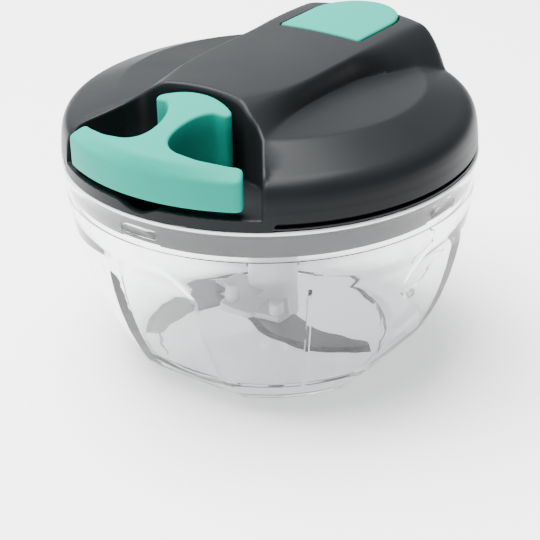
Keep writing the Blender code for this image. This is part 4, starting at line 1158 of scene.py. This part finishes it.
def build_screws():
    profile = [(0.0, -2.3), (2.5, -2.3), (2.8, -2.2), (3.0, -2.0), (3.0, -1.2), (1.3, -1.2),
               (1.3, 8.0), (0.5, 8.5), (0.0, 8.6)]
    screw = lathe("screw", above_rim(profile), 32, plated_steel)
    slots = []
    for wide, deep in ((0.35, 1.6), (1.6, 0.35)):
        corners = [(-wide, -deep), (wide, -deep), (wide, deep), (-wide, deep)]
        rings = [[(x, y, RIM + z) for x, y in corners] for z in (-3.0, -1.7)]
        slots.append(closed_rings("slot", rings, plated_steel))
    combine(screw, slots, "DIFFERENCE", 35.0)
    screws = copies("cover_screws", screw, SCREW_CIRCLE, SCREW_ANGLES, plated_steel, 0.4)
    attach(screws, "lid")
    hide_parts("cover_screw_1", "cover_screw_2", "cover_screw_3", "cover_screw_4")


build_screws()

# The blade holder is a white moulded sleeve that turns on the pin in the bowl's floor.
# Arms grow from it over each blade, and studs below them pass through the blade.
white_plastic = moulded("white_plastic", (0.80, 0.81, 0.82), 0.32, 0.04, 0.5, 0.06, 0.5, 0.02)
BLADE_LEVELS = (12.6, 13.2, 32.6)
BLADE_TURNS = (3.0, -98.0, 128.0)
HOLES = ((9.2, -12.5), (3.4, -12.5))
SLEEVE_PROFILE = ((2.0, 8.0), (7.5, 8.0), (7.9, 8.15), (8.15, 8.5), (8.15, 57.3), (8.0, 57.8),
                  (7.6, 58.0), (2.0, 58.0))
ARM_CORNERS = ((0.0, -3.0), (0.0, -15.0), (0.7, -15.7), (11.6, -15.7), (12.5, -14.8),
               (12.6, -10.4), (11.6, -8.6), (7.6, -3.0))
ARM_THICK = 2.3
MIDDLE_PEG = (-6.3, -14.4)
MIDDLE_STEP = ((-8.4, -17.9), (-7.6, -18.3), (-2.0, -18.2), (2.6, -18.0), (3.4, -17.4),
               (3.4, -12.0), (3.0, -6.0), (0.0, -4.0), (-5.0, -5.0), (-10.5, -8.0),
               (-10.6, -10.6), (-9.2, -13.0))


def turned_plan(points, degrees):
    a = math.radians(degrees)
    p = np.asarray(points, float)
    return np.stack([p[:, 0] * math.cos(a) - p[:, 1] * math.sin(a),
                     p[:, 0] * math.sin(a) + p[:, 1] * math.cos(a)], 1)


# An arm's plate between two heights, with rounded edges.
def arm_plate(name, outline, low, high):
    return slab(name, outline, (0.08, 0.25, 0.5), 1.6, lambda x, y, gap: high - rounding(gap, 0.5),
                lambda x, y, gap: low + rounding(gap, 0.2), white_plastic, 1)


def six_sided(radius):
    return [(radius * math.cos(TAU * (i + 0.5) / 6), radius * math.sin(TAU * (i + 0.5) / 6))
            for i in range(6)]


# The arm over one blade, its studs and the peg on top of it.
def arm_solids(blade_z, turn):
    low = blade_z + 1.1
    high = low + ARM_THICK
    plan = turned_plan(ARM_CORNERS, turn)
    dense = with_more_points(plan, lambda size: int(size / 0.7))
    solids = [arm_plate("arm", dense, low, high)]
    peg_at = turned_plan([HOLES[0]], turn)[0]
    if turn == BLADE_TURNS[1]:
        solids.append(arm_plate("step", spline(MIDDLE_STEP, 0.7, True), low, high))
        peg_at = MIDDLE_PEG
    foot = blade_z - 1.6
    stud = [(0.0, foot), (1.25, foot), (1.55, foot + 0.3), (1.55, low + 0.8), (0.0, low + 0.8)]
    for spot in turned_plan(HOLES, turn):
        solids.append(lathe("stud", stud, 32, white_plastic, False, 35.0, spot))
    peg = [(0.0, high - 0.8), (2.4, high - 0.8), (2.25, high + 2.7), (2.1, high + 3.1),
           (1.7, high + 3.4), (0.0, high + 3.4)]
    solids.append(lathe("peg", peg, 40, white_plastic, False, 35.0, peg_at))
    return solids


def build_holder():
    holder = lathe("blade_holder_moulding", SLEEVE_PROFILE, 120, white_plastic, True)
    solids = []
    for blade_z, turn in zip(BLADE_LEVELS, BLADE_TURNS):
        solids += arm_solids(blade_z, turn)
    combine(holder, solids, "UNION", 32.0)
    bore = closed_rings("bore", [[(x, y, z) for x, y in six_sided(4.6)] for z in (39.0, 62.0)],
                        white_plastic)
    well = rod("well", 2.0, 4.0, 41.0, 48, white_plastic)
    combine(holder, [bore, well], "DIFFERENCE", 32.0)
    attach(holder, "blades")
    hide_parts("blade_holder")


build_holder()

# Three crescent blades are cut from steel sheet, with two holes for the studs. The
# outer curve is ground thin, and its slope shows darker than the flat.
blade_steel = brushed_steel("blade_steel", (0.12, 0.123, 0.13), 0.30)
ground_steel = brushed_steel("ground_steel", (0.008, 0.0085, 0.011), 0.25)
BLADE_THICK = 0.9
EDGE_THIN = 0.65
EDGE_WIDE = 1.9
BLADE_HOLES = ((9.3, 3.2), (3.5, 2.9))
CUTTING_EDGE = ((-0.1, 6.6), (3.3, 8.7), (7.9, 11.2), (14.1, 13.3), (20.7, 14.0), (27.4, 13.3),
                (33.6, 11.4), (39.0, 8.3), (43.8, 3.9))
BLADE_BACK = ((42.7, 2.5), (41.1, 0.9), (39.8, 0.6), (34.9, 1.9), (29.9, 2.4), (25.3, 2.2),
              (20.7, 1.2), (16.6, -0.4), (12.8, -2.8))
BLADE_ROOT = ((12.0, -1.7), (11.6, -0.1), (0.6, -0.8))


# Turns a blade's own plan to where it stands on the holder.
def blade_plan(points, degrees):
    p = np.asarray(points, float)
    moved = np.stack([HOLES[0][0] + p[:, 0] - BLADE_HOLES[0][0],
                      HOLES[0][1] - (p[:, 1] - BLADE_HOLES[0][1])], 1)
    return turned_plan(moved, degrees)


def build_blade(index, node):
    turn = BLADE_TURNS[index]
    low = BLADE_LEVELS[index]
    edge = spline(CUTTING_EDGE, 0.9, False)
    back = spline(BLADE_BACK, 0.9, False)
    outline = blade_plan(np.vstack([edge, back, BLADE_ROOT]), turn)
    cutting = blade_plan(edge, turn)

    def top(x, y, gap):
        near = distance_to(cutting, np.stack([x, y], 1), False)
        return low + BLADE_THICK - EDGE_THIN * (1.0 - np.clip(near / EDGE_WIDE, 0.0, 1.0))

    blade = slab("%s_steel" % node, outline, (0.9, EDGE_WIDE, 2.1), 2.2, top, level(low),
                 blade_steel, 1, 20.0)
    tools = [rod("hole", 1.85, low - 1.0, low + 2.0, 32, blade_steel, spot)
             for spot in blade_plan(BLADE_HOLES, turn)]
    combine(blade, tools, "DIFFERENCE", 20.0)
    blade.data.materials.append(ground_steel)
    middle = np.array([tuple(f.center) for f in blade.data.polygons]) * 1000.0
    ground = (distance_to(cutting, middle[:, :2], False) < 1.75) & (middle[:, 2] > low + 0.05)
    for face, flag in zip(blade.data.polygons, ground):
        face.material_index = 1 if flag else 0
    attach(blade, "blades")
    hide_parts(node)


for index, node in enumerate(("blade_low", "blade_middle", "blade_high")):
    build_blade(index, node)

# A white moulded clip is pushed on the studs below each blade, and holds it up against
# its arm.
CLIP_DROP = 1.45
CLIP_THICK = 1.3


def build_clip(index):
    turn = BLADE_TURNS[index]
    low = BLADE_LEVELS[index] - CLIP_DROP
    outline = []
    for (x, y), start in ((HOLES[1], 90.0), (HOLES[0], -90.0)):
        for i in range(17):
            a = math.radians(start + 180.0 * i / 16.0)
            outline.append((x + 2.75 * math.cos(a), y + 2.3 * math.sin(a)))
    clip = slab("blade_clip_%d_plate" % (index + 1), turned_plan(outline, turn), (0.1, 0.3), 1.2,
                level(low + CLIP_THICK), lambda x, y, gap: low + rounding(gap, 0.35), white_plastic)
    tools = [rod("hole", 1.6, low - 1.0, low + 3.0, 32, white_plastic, spot)
             for spot in turned_plan(HOLES, turn)]
    combine(clip, tools, "DIFFERENCE", 32.0)
    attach(clip, "blades")
    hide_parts("blade_clip_%d" % (index + 1))


for index in range(len(BLADE_TURNS)):
    build_clip(index)


# A plated steel pin, pressed into the boss of the bowl's floor, carries the sleeve. Its
# tip is rounded, so that the holder drops on easily.
def build_pivot_pin():
    profile = [(0.0, 2.2), (1.58, 2.2), (1.58, 18.2), (1.45, 18.6), (1.1, 18.9), (0.0, 19.0)]
    pin = lathe("pivot_pin_steel", profile, 48, plated_steel)
    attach(pin, "bowl")
    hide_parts("bowl_pivot_pin")


build_pivot_pin()

# Under the spine a white moulded drum winds the cord. A flat steel spring inside it
# turns it back, and a cap closes it. All of them turn on a steel axle in the cover.
spring_steel = brushed_steel("spring_steel", (0.45, 0.46, 0.48), 0.30)
DRUM_PROFILE = ((2.58, 3.0), (2.58, 6.4), (6.5, 6.4), (6.5, 7.0), (14.3, 7.0), (14.3, 12.4),
                (21.3, 12.4), (21.5, 12.2), (21.5, 12.1), (21.4, 12.0), (15.6, 11.8), (15.6, 6.2),
                (21.4, 6.0), (21.5, 5.9), (21.5, 5.0), (21.3, 4.8), (9.0, 4.8), (7.9, 0.5),
                (7.6, 0.35), (5.8, 0.35), (5.6, 0.15), (5.6, -8.7), (5.4, -9.0), (4.5, -9.0),
                (4.5, 2.0), (3.2, 3.0))


def paint(node, material):
    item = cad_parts[node]
    item.data.materials.clear()
    item.data.materials.append(material)


def build_drum():
    drum = lathe("drum_moulding", above_rim(DRUM_PROFILE), 120, white_plastic, True)
    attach(drum, "drum")
    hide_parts("cord_drum")


build_drum()
paint("drum_cap", white_plastic)
paint("clock_spring", spring_steel)
paint("axle_pin", plated_steel)


# A six sided steel shaft hangs from the drum and slides into the blade sleeve. Its
# ends are bevelled, so that it finds the bore.
def build_shaft():
    rings = [[(x * k, y * k, RIM + z) for x, y in six_sided(4.2)]
             for z, k in ((-24.0, 0.9), (-23.6, 1.0), (1.2, 1.0), (1.6, 0.93))]
    shaft = closed_rings("drive_shaft_steel", rings, plated_steel, 20.0)
    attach(shaft, "drum")
    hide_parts("drive_shaft")


build_shaft()

# The wound part of the cord lies on the drum in three turns of braid, each against
# the next.
cord_braid = moulded("cord_braid", (0.75, 0.75, 0.73), 0.9, 0.04, 0.5, 0.6)


# A node tree that coils a round wire around an upright axis. Its inputs are the
# coil's radius, its turns and height, the wire's radius and the material.
def coil_tree():
    tree, start = new_tree("wire_coil", (("Coil Radius", "Float"), ("Turns", "Float"),
                                         ("Height", "Float"), ("Wire Radius", "Float"),
                                         ("Material", "Material")))
    line = add_node(tree, "GeometryNodeCurveSpiral",
                    {"Resolution": 48, "Rotations": start["Turns"], "Height": start["Height"],
                     "Start Radius": start["Coil Radius"], "End Radius": start["Coil Radius"]})
    ring = add_node(tree, "GeometryNodeCurvePrimitiveCircle",
                    {"Resolution": 14, "Radius": start["Wire Radius"]})
    tube = add_node(tree, "GeometryNodeCurveToMesh",
                    {"Curve": line["Curve"], "Profile Curve": ring["Curve"], "Fill Caps": True})
    end_tree(tree, tube["Mesh"], start["Material"])
    return tree


COIL = coil_tree()


def coil(name, centre, coil_radius, turns, height, wire_radius, material):
    item = linked(name, bpy.data.meshes.new(name))
    step = item.modifiers.new("coil", "NODES")
    set_inputs(step, COIL, {"Coil Radius": coil_radius * 0.001, "Turns": turns,
                            "Height": height * 0.001, "Wire Radius": wire_radius * 0.001,
                            "Material": material})
    made = made_plain(item, name, material, 60.0)
    made.data.transform(Matrix.Translation([c * 0.001 for c in centre]))
    return made


def build_winding():
    winding = coil("winding_cord", (0.0, 0.0, RIM + 7.05), 16.45, 3.0, 3.9, 0.82, cord_braid)
    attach(winding, "drum")
    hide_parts("cord_winding")


build_winding()


# The button's return spring is a coil of round steel wire. It stands on the floor of
# the well and reaches into the button's bore.
def build_button_spring():
    spring = coil("button_spring_coil", (0.0, 44.0, RIM + 18.05), 3.4, 4.0, 6.2, 0.35, spring_steel)
    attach(spring, "lid")
    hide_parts("button_spring")
    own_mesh(spring)


build_button_spring()

# The pull cord is white braid. It leaves the drum, bends through a plated eyelet in the
# cover and ends at a knot in the handle.
paint("cord_eyelet", plated_steel)
paint("cord_knot", cord_braid)
CORD_R = 0.9
DRUM_REACH = 18.7
EYELET_Y = -27.2


def build_cord():
    turn = math.acos(DRUM_REACH / -EYELET_Y)
    start = np.array((DRUM_REACH * math.sin(turn), -DRUM_REACH * math.cos(turn)))
    points = [start, start + (np.array((0.0, EYELET_Y)) - start) * 0.55, (0.5, -26.9),
              (0.0, -28.3), (0.0, -32.0), (0.0, -38.15)]
    line = spline(points, 0.5, False)
    rings = []
    for k in range(len(line)):
        along = line[min(k + 1, len(line) - 1)] - line[max(k - 1, 0)]
        along = along / np.linalg.norm(along)
        side = np.array((-along[1], along[0]))
        ring = []
        for i in range(16):
            a = TAU * i / 16.0
            out = CORD_R * math.cos(a)
            ring.append((line[k][0] + side[0] * out, line[k][1] + side[1] * out,
                         CORD_Z + CORD_R * math.sin(a)))
        rings.append(ring)
    cord = closed_rings("pull_cord", rings, cord_braid, 60.0)
    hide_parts("cord_run")
    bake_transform(cord)


build_cord()
